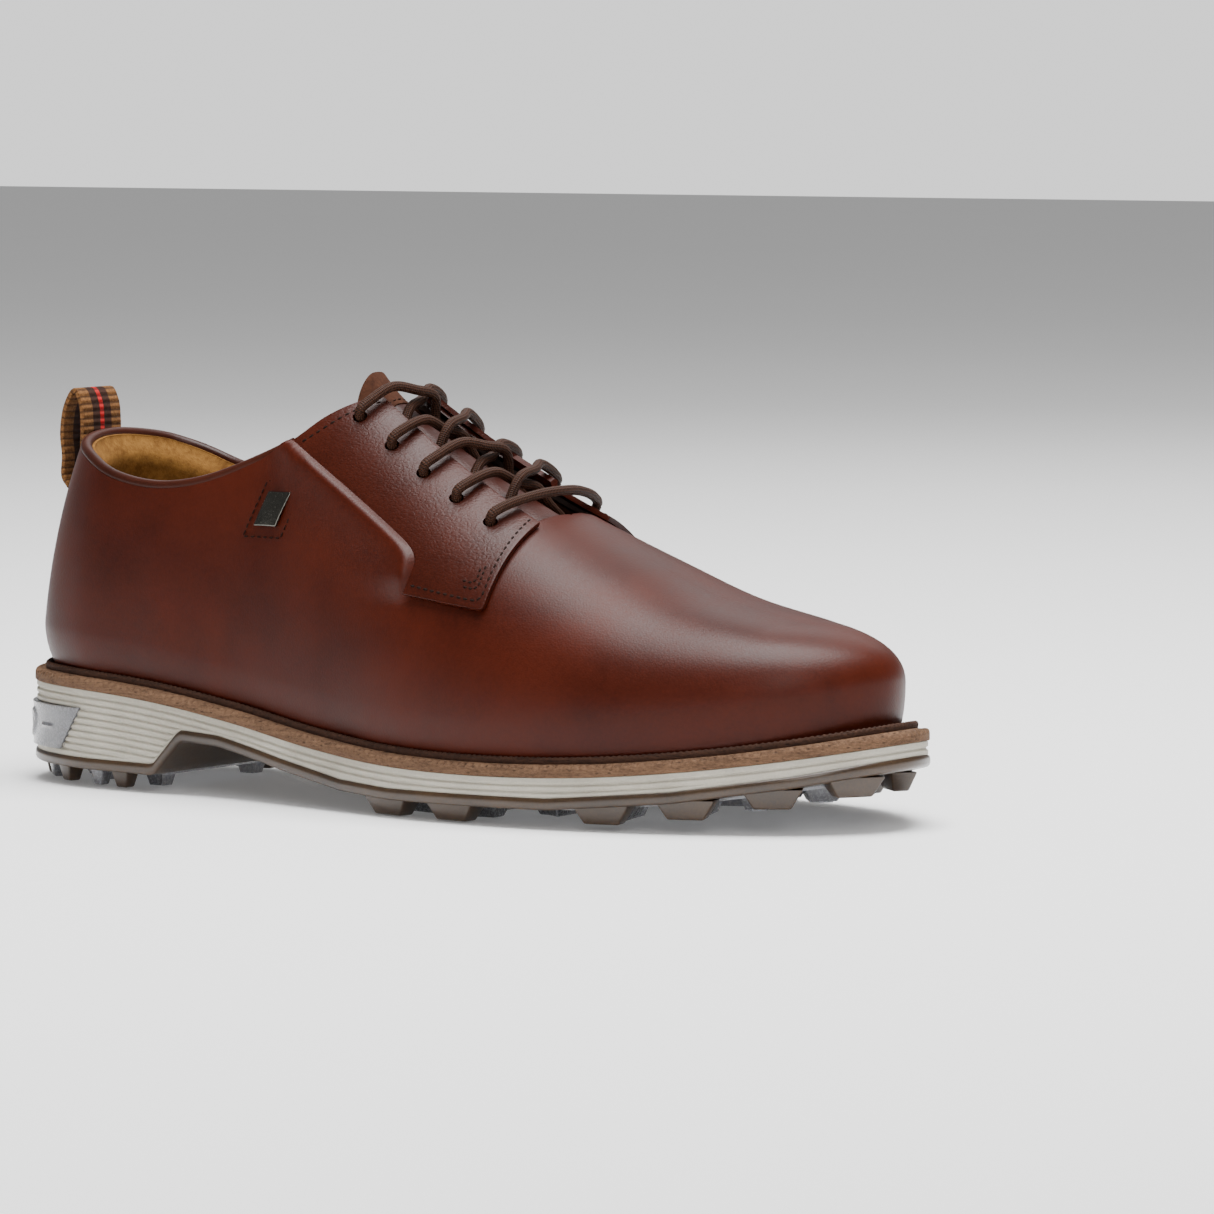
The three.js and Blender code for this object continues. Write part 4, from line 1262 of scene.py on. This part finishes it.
@dataclass
class Tongue:
    """The tongue and its soft top band."""

    depth: float = 7.0
    thickness: float = 2.0
    root: float = 196.0
    top: float = 119.5
    band: float = 127.0
    span: float = 31.0
    dome: float = 5.0
    crown: float = 3.6
    leather: Leather = field(default_factory=lambda: Leather(
        "tongue_leather", (0.022, 0.0032, 0.0011), (0.042, 0.0062, 0.0020), 0.45, 0.25, 0.3))
    nubuck: Nap = field(default_factory=lambda: Nap(
        "nubuck", (0.030, 0.0100, 0.0050), (0.075, 0.027, 0.0135)))

    def points(self, low: float, high: float, nu: int, nv: int, extra: float = 0.0) -> Array:
        """Points over a stretch of the tongue's face."""
        u, v = np.meshgrid(np.linspace(low, high, nu + 1), np.linspace(-1, 1, nv + 1),
                           indexing="ij")
        u = u + self.dome * np.abs(v) ** 2.6 * (high - u) / (high - low) * (low < self.top + 1)
        corner = ease(self.top, self.top + 9, u)
        phi = 90 - np.abs(v) * self.span * (0.92 + 0.08 * corner)
        lift = through([(self.top, 3.0), (self.top + 5, 1.3), (self.top + 10, 0.3),
                        (self.top + 14, 0)])(u)
        depth = self.depth - (self.crown + lift) * ease(69, 87, phi) + extra
        outer = LAST.side_skin(Side.OUTER, u, phi, depth)
        inner = LAST.side_skin(Side.INNER, u, phi, depth)
        return np.where((v < 0)[..., None], outer, inner)

    def build(self) -> None:
        """Builds the tongue and its band."""
        body = grid("tongue_leather", self.points(self.band, self.root, 60, 40), 0)
        shell(body, self.thickness, -1, 0.5)
        body.data.materials.append(self.leather.make())
        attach(body, TONGUE)
        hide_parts("tongue")
        top = grid("tongue_top_band", self.points(self.top, self.band + 3.4, 14, 40, -0.35), 0)
        shell(top, self.thickness + 0.7, -1, 0.8, 3)
        top.data.materials.append(self.nubuck.make())
        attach(top, TONGUE)
        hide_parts("tongue_band")
        row = self.points(self.band + 1.9, self.band + 1.91, 1, 60, -0.45)[0, 3:-3]
        normal = np.tile([-0.45, 0.0, 0.9], (len(row), 1))
        stitches = Seam(2.2, 0.3, 0.55, 0.05).sew("tongue_stitches", row, normal)
        stitches.data.materials.append(
            Moulded("tongue_thread", (0.012, 0.004, 0.002), (0.03, 0.011, 0.006), 0.8, 0.4,
                    shine=0.1).make())
        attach(stitches, TONGUE)
        LOG.info("tongue")


@dataclass
class Lacing:
    """The lace, whole along its route through the eyelets."""

    radius: float = 1.45
    over: float = -4.4
    under: float = 5.1
    cross_low: float = -0.4
    cross_high: float = -4.0

    def crossing(self, start: int, k: int, centre: float) -> list[tuple]:
        """From under one facing's eyelet k, over to the other facing's eyelet k + 1."""
        ax, ap = EYELETS.at(k)
        bx, bp = EYELETS.at(k + 1)
        mid = (ax + bx) / 2
        over, under = self.over, self.under
        return [
            (start, ax, ap, under), (start, ax - 1.6, ap + 7, under),
            (start, ax - 3.2, 77, under - 1.6), (start, mid + 1, 84, centre + 0.7),
            (-start, mid - 0.6, 86.5, centre - 0.2),
            (-start, bx + 2.6, 79, min(centre - 1, over + 0.9)),
            (-start, bx + 1.2, bp + 5, over - 0.5), (-start, bx + 0.2, bp + 0.6, over + 0.2),
            (-start, bx, bp, 0.5),
        ]

    def route(self) -> Array:
        """The lace's path, in millimetres."""

        def half(side: int) -> list[tuple]:
            """One end's way up."""
            points, start = [], side
            for k in range(EYELETS.count - 1):
                points += self.crossing(start, k, self.cross_high if side < 0 else self.cross_low)
                start = -start
            x, phi = EYELETS.at(EYELETS.count - 1)
            return points + [(start, x, phi, self.under), (start, x + 4, phi - 4, self.under),
                             (start, x + 11, phi - 6, self.under)]

        x, phi = EYELETS.at(0)
        over = self.over

        def hop(side: int) -> list[tuple]:
            """Up out of the first eyelet."""
            return [(side, x, phi, 0.5), (side, x + 0.3, phi + 0.6, over + 0.2),
                    (side, x + 1.6, phi + 6, over - 0.4), (side, x + 4, 80, over - 0.2)]

        bar = hop(-1) + [(1, x + 5, 90, over - 0.4)] + hop(1)[::-1]
        stops = half(-1)[::-1] + bar + half(1)
        return np.array([LAST.side_skin(Side(s), np.array(float(px)), np.array(float(p)), d)
                         for s, px, p, d in stops])

    def build(self) -> None:
        """Builds the lace."""
        path = resample(spline(self.route(), 14), 0.9)
        obj = tube("lace_cord", path, self.radius, 12)
        length = float(run_of(path)[-1])
        obj.data.materials.append(Braid("lace_braid", length).make())
        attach(obj, REAR)
        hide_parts("lace")
        LOG.info("lace, %.0f mm", length)


# ---- Sole -----------------------------------------------------------------------------


@dataclass
class Sole:
    """The welt, midsole, outsole, studs and heel clip."""

    columns: int = 400
    groove_pitch: float = 2.0
    groove_depth: float = 0.6
    notch: float = 2.6
    bead: float = 1.9
    girth: float = 735.0
    whole: float = 999.0
    arch: tuple[float, float] = (61, 146)
    ball_room: float = 5.0
    clip_z: tuple[float, float] = (10.2, 22.6)
    clip_share: float = 0.086

    def disc(self, name: str, top: Curve, bottom: Curve, wall: list[tuple[float, float, float]],
             inset: float = 0.0) -> bpy.types.Object:
        """A closed layer of the sole.

        Args:
            name: The piece's name.
            top: Its upper height over x.
            bottom: Its lower height over x.
            wall: From the top down: extra inset, millimetres below the top (whole for the
                bottom), and a groove's depth.
            inset: How far in from the sole's edge it ends.

        Returns:
            The layer.
        """
        share = np.linspace(0, 1, self.columns + 1)
        base = LAST.edge(share, inset)
        axis_x = np.clip(base[:, 0], LAST.heel_pole, LAST.toe_pole)
        axis = np.stack([axis_x, LAST.spine_y(axis_x)], -1)
        steps = [1, 0.85, 0.65, 0.45, 0.25, 0.12, 0.05]
        rings = []
        for r in steps:
            p = base + (axis - base) * r
            rings.append(np.column_stack([p, top(p[:, 0])]))
        height = top(base[:, 0]) - bottom(base[:, 0])
        for extra, down, groove in wall:
            at = np.minimum(down, height - 0.45) if down < self.whole else height
            fade = 1 - ease(height - 1.6, height - 0.7, np.full_like(height, down))
            p = LAST.edge(share, inset + extra + groove * fade)
            rings.append(np.column_stack([p, top(base[:, 0]) - at]))
        for r in reversed(steps):
            p = base + (axis - base) * r
            rings.append(np.column_stack([p, bottom(p[:, 0])]))
        return grid(name, np.stack(rings, 1), 0.02)

    def build_midsole(self) -> None:
        """The foam midsole with its moulded grooves."""
        wall = [(0.5, 0.0, 0.0), (0.15, 0.15, 0.0)]
        for k in range(1, 12):
            at = k * self.groove_pitch
            for off, share in ((-0.62, 0.0), (-0.36, 0.45), (-0.14, 1.0), (0.14, 1.0), (0.36, 0.45),
                               (0.62, 0.0)):
                wall.append((0.1, at + off, self.groove_depth * share))
        wall.append((0.3, self.whole, 0.0))
        obj = self.disc("midsole_foam", LAST.welt_z,
                        lambda x: LAST.tread_z(x) + LAST.rubber_t, wall, 0.35)
        smooth(obj, 50)
        obj.data.materials.append(Moulded("midsole_foam", (0.36, 0.33, 0.27), (0.47, 0.44, 0.37),
                                          0.6, 0.3, 0.05).make())
        cross_ball(obj, 14, 14)
        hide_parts("midsole_rear", "midsole_front")
        LOG.info("midsole")

    def build_outsole(self) -> None:
        """The gum rubber outsole."""
        wall = [(0.35, 0.0, 0.0), (0.0, 0.3, 0.0), (-0.15, 1.0, 0.0), (-0.15, 2.1, 0.0),
                (0.1, 2.7, 0.0), (0.7, self.whole, 0.0)]
        obj = self.disc("outsole_gum", lambda x: LAST.tread_z(x) + LAST.rubber_t, LAST.tread_z,
                        wall)
        obj.data.materials.append(self.gum())
        cross_ball(obj, 14, 14)
        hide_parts("outsole_rear", "outsole_front")
        LOG.info("outsole")

    def gum(self) -> bpy.types.Material:
        """Gum rubber."""
        return Moulded("gum_rubber", (0.022, 0.0105, 0.0035), (0.050, 0.0250, 0.0090), 0.34,
                       0.12, 0.1, 0.25).make()

    def clear_tpu(self) -> bpy.types.Material:
        """Clear grey plastic."""
        return Moulded("clear_tpu", (0.075, 0.075, 0.082), (0.150, 0.150, 0.162), 0.25, 0.08, 0.2,
                       0.4).make()

    def build_welt(self) -> None:
        """The stacked leather welt with its wheeled edge, and the storm rib."""
        notches = int(round(self.girth / self.notch))
        share = np.linspace(0, 1, notches * 6 + 1)
        wave = (0.5 + 0.5 * np.cos(2 * math.pi * share * notches)) ** 2
        rows = [(13.0, 0.0, 0), (0.3, 0.0, 0), (0.0, 0.3, 0), (0.0, 1.7, 0), (0.05, 2.5, 0.35),
                (0.25, 3.0, 0.8), (0.7, 3.38, 1.0), (1.5, 3.42, 0.9), (2.2, 3.32, 0.3),
                (3.1, 3.4, 0), (13.0, 3.4, 0), (13.0, 0.0, 0)]
        rings = []
        base_x = LAST.edge(share, 0.0)[:, 0]
        for inset, up, gimp in rows:
            p = LAST.edge(share, inset + 0.35 * gimp * wave)
            rings.append(np.column_stack([p, LAST.welt_z(base_x) + up - 0.75 * gimp * wave]))
        obj = grid("welt_leather", np.stack(rings, 1), 0.01)
        smooth(obj, 45)
        obj.data.materials.append(StackedLeather("welt_leather").make())
        cross_ball(obj, 14, 14)
        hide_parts("welt_rear", "welt_front")
        beads = int(round(self.girth / self.bead))
        share = np.linspace(0, 1, beads * 5 + 1)
        wave = 0.5 + 0.5 * np.cos(2 * math.pi * share * beads)
        rings = []
        base_x = LAST.edge(share, 0.0)[:, 0]
        for inset, up, gimp in ((3.3, 3.3, 0), (3.1, 4.6, 0.4), (3.3, 5.2, 1), (3.8, 5.5, 1),
                                (4.4, 5.2, 0.6), (4.8, 3.3, 0), (3.3, 3.3, 0)):
            p = LAST.edge(share, inset)
            rings.append(np.column_stack([p, LAST.welt_z(base_x) + up - 0.3 * gimp * wave]))
        rib = grid("storm_rib", np.stack(rings, 1), 0.01)
        # The storm rib is painted near-black: partly its own dark leather, partly painted shade
        # under the upper's overhang.
        rib.data.materials.append(StackedLeather("rib_leather", (0.016, 0.006, 0.003),
                                                 (0.06, 0.024, 0.012)).make())
        cross_ball(rib, 14, 14)
        LOG.info("welt and storm rib")

    def stud_model(self, length: float, width: float, height: float) -> bpy.types.Object:
        """One tapered stud, root up at the origin, in millimetres."""
        bpy.ops.mesh.primitive_cube_add(size=1, location=(0, 0, 0))
        obj = bpy.context.active_object
        only(obj)
        for v in obj.data.vertices:
            v.co.z = 0.8 if v.co.z > 0 else -height
            taper = 1.0 if v.co.z > 0 else 0.6
            v.co.x *= length * taper
            v.co.y *= width * taper
        edit(obj, outwards, lambda: bpy.ops.mesh.bevel(offset=0.55, segments=2))
        return obj

    def stud_places(self, inset: float, low: float, high: float, count: int) -> list[Matrix]:
        """Places in a row that follows the sole's edge."""
        places = []
        for share in np.linspace(low, high, count):
            p = LAST.edge(np.array([share]), inset)[0]
            q = LAST.edge(np.array([share + 1e-3]), inset)[0]
            turn = math.atan2(q[1] - p[1], q[0] - p[0])
            z = float(LAST.tread_z(p[0]))
            if abs(p[0] - LAST.ball) < self.ball_room or self.arch[0] < p[0] < self.arch[1]:
                continue
            places.append(Matrix.Translation((p[0], p[1], z)) @ Matrix.Rotation(turn, 4, "Z"))
        return places

    def build_studs(self) -> None:
        """The gum studs round the edge and the clear ones inside them."""
        groups = {
            "gum": [(6.0, 0.225, 0.475, 8, 17, 8, 4.8), (6.0, 0.555, 0.765, 8, 15, 8, 4.8),
                    (5.5, 0.03, 0.105, 3, 6.5, 6, 4.8), (5.5, 0.895, 0.97, 3, 6.5, 6, 4.8)],
            "clear": [(16.5, 0.235, 0.465, 8, 13, 8, 4.6), (16.5, 0.55, 0.765, 7, 13, 8, 4.6),
                      (30, 0.245, 0.44, 6, 11, 9, 4.6), (34, 0.585, 0.735, 5, 11, 9, 4.6),
                      (6, 0.048, 0.09, 2, 5.5, 5, 4.8), (6, 0.91, 0.95, 2, 5.5, 5, 4.8),
                      (16, 0.02, 0.11, 3, 7, 6, 4.8), (16, 0.89, 0.98, 3, 7, 6, 4.8)],
        }
        finishes = {"gum": (self.gum(), "gum_rubber"), "clear": (self.clear_tpu(), "clear_tpu")}
        for kind, rows in groups.items():
            material, slot = finishes[kind]
            for half, label in ((REAR, "rear"), (FORE, "front")):
                made = []
                for i, (inset, low, high, count, length, width, height) in enumerate(rows):
                    places = [m for m in self.stud_places(inset, low, high, count)
                              if (m.translation.x < LAST.ball) == (half == REAR)]
                    if places:
                        made.append(scatter(f"{kind}_{i}", self.stud_model(length, width, height),
                                            places))
                obj = join(f"studs_{kind}_{label}", made)
                obj.data.materials.clear()
                obj.data.materials.append(material)
                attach(obj, half)
        LOG.info("studs")

    def build_clip(self) -> None:
        """The clear clip round the back of the heel, with a plain oval boss."""
        u, v = np.meshgrid(np.linspace(-1, 1, 161), np.linspace(0, 1, 31), indexing="ij")
        low, high = self.clip_z
        slant = 1 - 0.16 * (1 - v)
        share = self.clip_share * u * slant
        z = low + (high - low) * v
        dish = 0.9 * np.sin(np.pi * v) * (1 - np.abs(u) ** 6)
        edge_drop = 0.5 * (np.abs(u) ** 30)
        boss_u, boss_v = (np.abs(u) - 0.53) / 0.08, (v - 0.5) / 0.34
        ring = np.exp(-((np.hypot(boss_u, boss_v) - 0.85) / 0.2) ** 2) * 0.75
        bar = np.exp(-(((v - 0.5) / 0.035) ** 2)) * (np.abs(np.abs(u) - 0.78) < 0.07) * 0.4
        flat = LAST.edge(share.ravel() % 1, (-0.75 + 0.55 * dish + edge_drop - ring - bar).ravel())
        points = np.concatenate([flat.reshape(*u.shape, 2), z[..., None]], -1)
        obj = grid("heel_clip_clear", points, 0)
        shell(obj, 1.6, -1, 0.4)
        obj.data.materials.append(self.clear_tpu())
        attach(obj, REAR)
        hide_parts("heel_clip")
        LOG.info("heel clip")

    def build(self) -> None:
        """Builds the sole from the welt down."""
        self.build_welt()
        self.build_midsole()
        self.build_outsole()
        self.build_studs()
        self.build_clip()


# ---- Trim -----------------------------------------------------------------------------


@dataclass
class Trim:
    """The pull loop and the side badge."""

    loop_w: float = 17.0
    loop_t: float = 1.4
    foot: float = 84.0
    top: float = 112.5
    reach: float = 5.5
    badge_x: float = 107.0
    badge_z: float = 82.3
    badge_length: float = 8.5
    badge_height: float = 9.7
    badge_lean: float = 4.0
    badge_border: float = 3.0

    def loop_path(self) -> Array:
        """The loop's side view, as points in millimetres."""

        def front(z: float) -> float:
            """x just behind the heel's surface."""
            share = np.array(0.0)
            p = LAST.skin(share, LAST.phi_at(share, np.array(z)), 0.0)
            return float(p[0]) - self.loop_t / 2 - LAST.clear - 0.1

        lean = front(97) - 1.6
        stops = [(front(self.foot), self.foot), (front(90), 90), (min(front(97), lean), 97),
                 (lean + 0.2, 103), (lean - 0.5, 109), (lean - self.reach / 2, self.top),
                 (lean - self.reach - 0.6, 108), (lean - self.reach - 2.2, 100),
                 (lean - self.reach - 1.6, 93), (front(self.foot) - 4.4, 87),
                 (front(self.foot) - self.loop_t - 0.7, self.foot)]
        return spline(np.array([(x, 0.0, z) for x, z in stops]), 10)

    def build_loop(self) -> None:
        """The webbing pull loop."""
        path = resample(self.loop_path(), 0.7)
        across = np.linspace(-self.loop_w / 2, self.loop_w / 2, 25)
        points = path[:, None, :] + np.stack([0 * across, across, 0 * across], -1)[None]
        obj = grid("pull_loop_webbing", points, 0)
        shell(obj, self.loop_t, 0, 0.35)
        length = float(run_of(path)[-1])
        obj.data.materials.append(Webbing("loop_webbing", length).make())
        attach(obj, LOOP)
        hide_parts("pull_loop")
        LOG.info("pull loop")

    def build_badge(self) -> None:
        """A plain slanted metal badge in a stitched border."""

        def spots(u: Array, v: Array, depth: float | Array, grow: float = 0.0) -> Array:
            """Points of the badge, or of the border round it."""
            up = (v - 0.5) * (self.badge_height + 2 * grow)
            px = self.badge_x + (u - 0.5) * (self.badge_length + 2 * grow)
            px = px + up / self.badge_height * self.badge_lean
            pz = self.badge_z + up
            return LAST.side_view(Side.OUTER, px, pz, depth)

        us, vs = np.meshgrid(np.linspace(0, 1, 19), np.linspace(0, 1, 23), indexing="ij")
        points = spots(us, vs, -1.45 - 0.35 * np.sin(math.pi * us) * np.sin(math.pi * vs))
        obj = grid("badge_plate", points, 0)
        shell(obj, 1.0, -1, 0.35, 3)
        obj.data.materials.append(Moulded("badge_metal", (0.05, 0.048, 0.04), (0.10, 0.095, 0.08),
                                          0.2, 0.04, 0.0, 0.4, 1.0).make())
        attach(obj, REAR)
        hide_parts("badge")
        corners = [(0, 0), (1, 0), (1, 1), (0, 1), (0, 0)]
        thread = Moulded("badge_thread", *THREAD).make()
        for i, ((u0, v0), (u1, v1)) in enumerate(zip(corners, corners[1:])):
            t = np.linspace(0, 1, 9)
            path = spots(u0 + (u1 - u0) * t, v0 + (v1 - v0) * t, -0.4, self.badge_border)
            n = np.tile(np.array([0.05, -1.0, 0.25]), (len(path), 1))
            row = Seam(2.3, 0.3, 0.55, 0.05).sew(f"badge_stitches_{i}", path, n)
            row.data.materials.append(thread)
            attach(row, REAR)
        LOG.info("badge")

    def build(self) -> None:
        """Builds the trim."""
        self.build_loop()
        self.build_badge()


@dataclass
class Inside:
    """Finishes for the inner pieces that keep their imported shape."""

    def build(self) -> None:
        """Gives each inner piece its own finish."""
        suede = Nap("inner_microfibre", (0.12, 0.05, 0.011), (0.26, 0.125, 0.03)).make()
        under = Nap("facing_lining_suede", (0.020, 0.006, 0.003), (0.045, 0.015, 0.007)).make()
        board = StackedLeather("insole_board", (0.35, 0.24, 0.14), (0.6, 0.45, 0.29)).make()
        stiff = Moulded("stiffener", (0.6, 0.56, 0.5), (0.74, 0.7, 0.64), 0.8, 0.6).make()
        dark = Moulded("facing_backer", (0.012, 0.006, 0.004), (0.03, 0.014, 0.008), 0.8,
                       0.6).make()
        foam = Moulded("collar_foam", (0.6, 0.5, 0.33), (0.78, 0.69, 0.5), 0.95, 0.9).make()
        steel = Moulded("spring_steel", (0.5, 0.5, 0.52), (0.62, 0.62, 0.64), 0.35, 0.1,
                        metal=1).make()
        clear = Moulded("plate_tpu", (0.22, 0.22, 0.24), (0.34, 0.34, 0.36), 0.25, 0.08, 0.3,
                        0.4).make()
        finishes = {
            "sock_liner": suede, "facing_lining": under, "insole_board": board,
            "heel_counter": stiff, "toe_puff": stiff, "facing_backer": dark,
            "collar_foam": foam, "shank": steel, "stud_plate": clear,
        }
        for name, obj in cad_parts.items():
            for start, material in finishes.items():
                if name.startswith(start):
                    obj.data.materials.clear()
                    obj.data.materials.append(material)
        LOG.info("inner pieces")


# ---- Studio ---------------------------------------------------------------------------


@dataclass
class Studio:
    """A pale floor, soft lights and the camera."""

    target: tuple[float, float, float] = (195.6, 4.5, 56.05)
    azimuth: float = 36.15
    elevation: float = 4.69
    distance: float = 1971.65
    lens: float = 208.7
    roll: float = -0.25
    sky: tuple = ((0.012, 1.25), (0.07, 0.26))

    def build_camera(self) -> None:
        """The camera, low and to the outer front."""
        a, e = math.radians(self.azimuth), math.radians(self.elevation)
        back = Vector((math.sin(a) * math.cos(e), -math.cos(a) * math.cos(e), math.sin(e)))
        target = Vector(PLACE.point(*self.target))
        camera = bpy.data.objects.new("camera", bpy.data.cameras.new("camera"))
        bpy.context.scene.collection.objects.link(camera)
        camera.data.lens = self.lens
        camera.data.sensor_width = 36.0
        camera.data.clip_end = 50
        camera.location = target + back * (self.distance / 1000)
        turn = back.to_track_quat("Z", "Y").to_matrix().to_4x4()
        spin = Matrix.Rotation(math.radians(self.roll), 4, "Z")
        camera.matrix_world = Matrix.Translation(camera.location) @ turn @ spin
        bpy.context.scene.camera = camera

    def light(self, name: str, where: tuple[float, float, float], size: tuple[float, float],
              power: float, aim: tuple[float, float, float] = (0, 0, 0.05)) -> None:
        """A rectangular soft light.

        Args:
            name: Its name.
            where: Its place in metres.
            size: Its width and height in metres.
            power: In watts.
            aim: Where it points.
        """
        data = bpy.data.lights.new(name, "AREA")
        data.shape = "RECTANGLE"
        data.size, data.size_y = size
        data.energy = power
        obj = bpy.data.objects.new(name, data)
        bpy.context.scene.collection.objects.link(obj)
        obj.location = where
        obj.rotation_euler = (Vector(where) - Vector(aim)).to_track_quat("Z", "Y").to_euler()

    def build(self) -> None:
        """Builds the floor, lights and camera."""
        bpy.ops.mesh.primitive_plane_add(size=12, location=(0, 0, -0.0005))
        floor = bpy.context.active_object
        floor.name = "floor"
        g = Graph("floor_pale")
        speck = g.noise(g.place(), 3, 2)
        floor.data.materials.append(g.finish(
            Base_Color=g.mix(speck, (0.9, 0.9, 0.9), (0.93, 0.93, 0.93)), Roughness=0.9,
            Specular_IOR_Level=0.1, Emission_Color=(1, 1, 1, 1), Emission_Strength=0.12))
        world = bpy.data.worlds.new("studio")
        bpy.context.scene.world = world
        world.use_nodes = True
        tree = world.node_tree
        back = tree.nodes["Background"]
        at = tree.nodes.new("ShaderNodeTexCoord")
        height = tree.nodes.new("ShaderNodeSeparateXYZ")
        ramp = tree.nodes.new("ShaderNodeValToRGB")
        for stop, (where, shade) in zip(ramp.color_ramp.elements, self.sky):
            stop.position = where
            stop.color = (shade, shade, shade, 1)
        tree.links.new(at.outputs["Generated"], height.inputs[0])
        tree.links.new(height.outputs["Z"], ramp.inputs["Fac"])
        tree.links.new(ramp.outputs["Color"], back.inputs["Color"])
        back.inputs["Strength"].default_value = 1.0
        self.light("top_box", (0.15, 0.05, 1.5), (1.2, 1.0), 62)
        self.light("rear_box", (-0.7, 1.2, 1.0), (1.4, 0.7), 5)
        self.light("side_strip", (1.1, -1.1, 1.0), (0.5, 1.0), 9)
        self.build_camera()
        LOG.info("studio")


def main() -> None:
    """Builds every sub-assembly in order."""
    bpy.ops.object.select_all(action="DESELECT")
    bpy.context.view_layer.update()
    Studio().build()
    Upper().build()
    for side in Side:
        Facing(side).build()
    Tongue().build()
    Lacing().build()
    Sole().build()
    Trim().build()
    Inside().build()


if __name__ == "__main__":
    main()
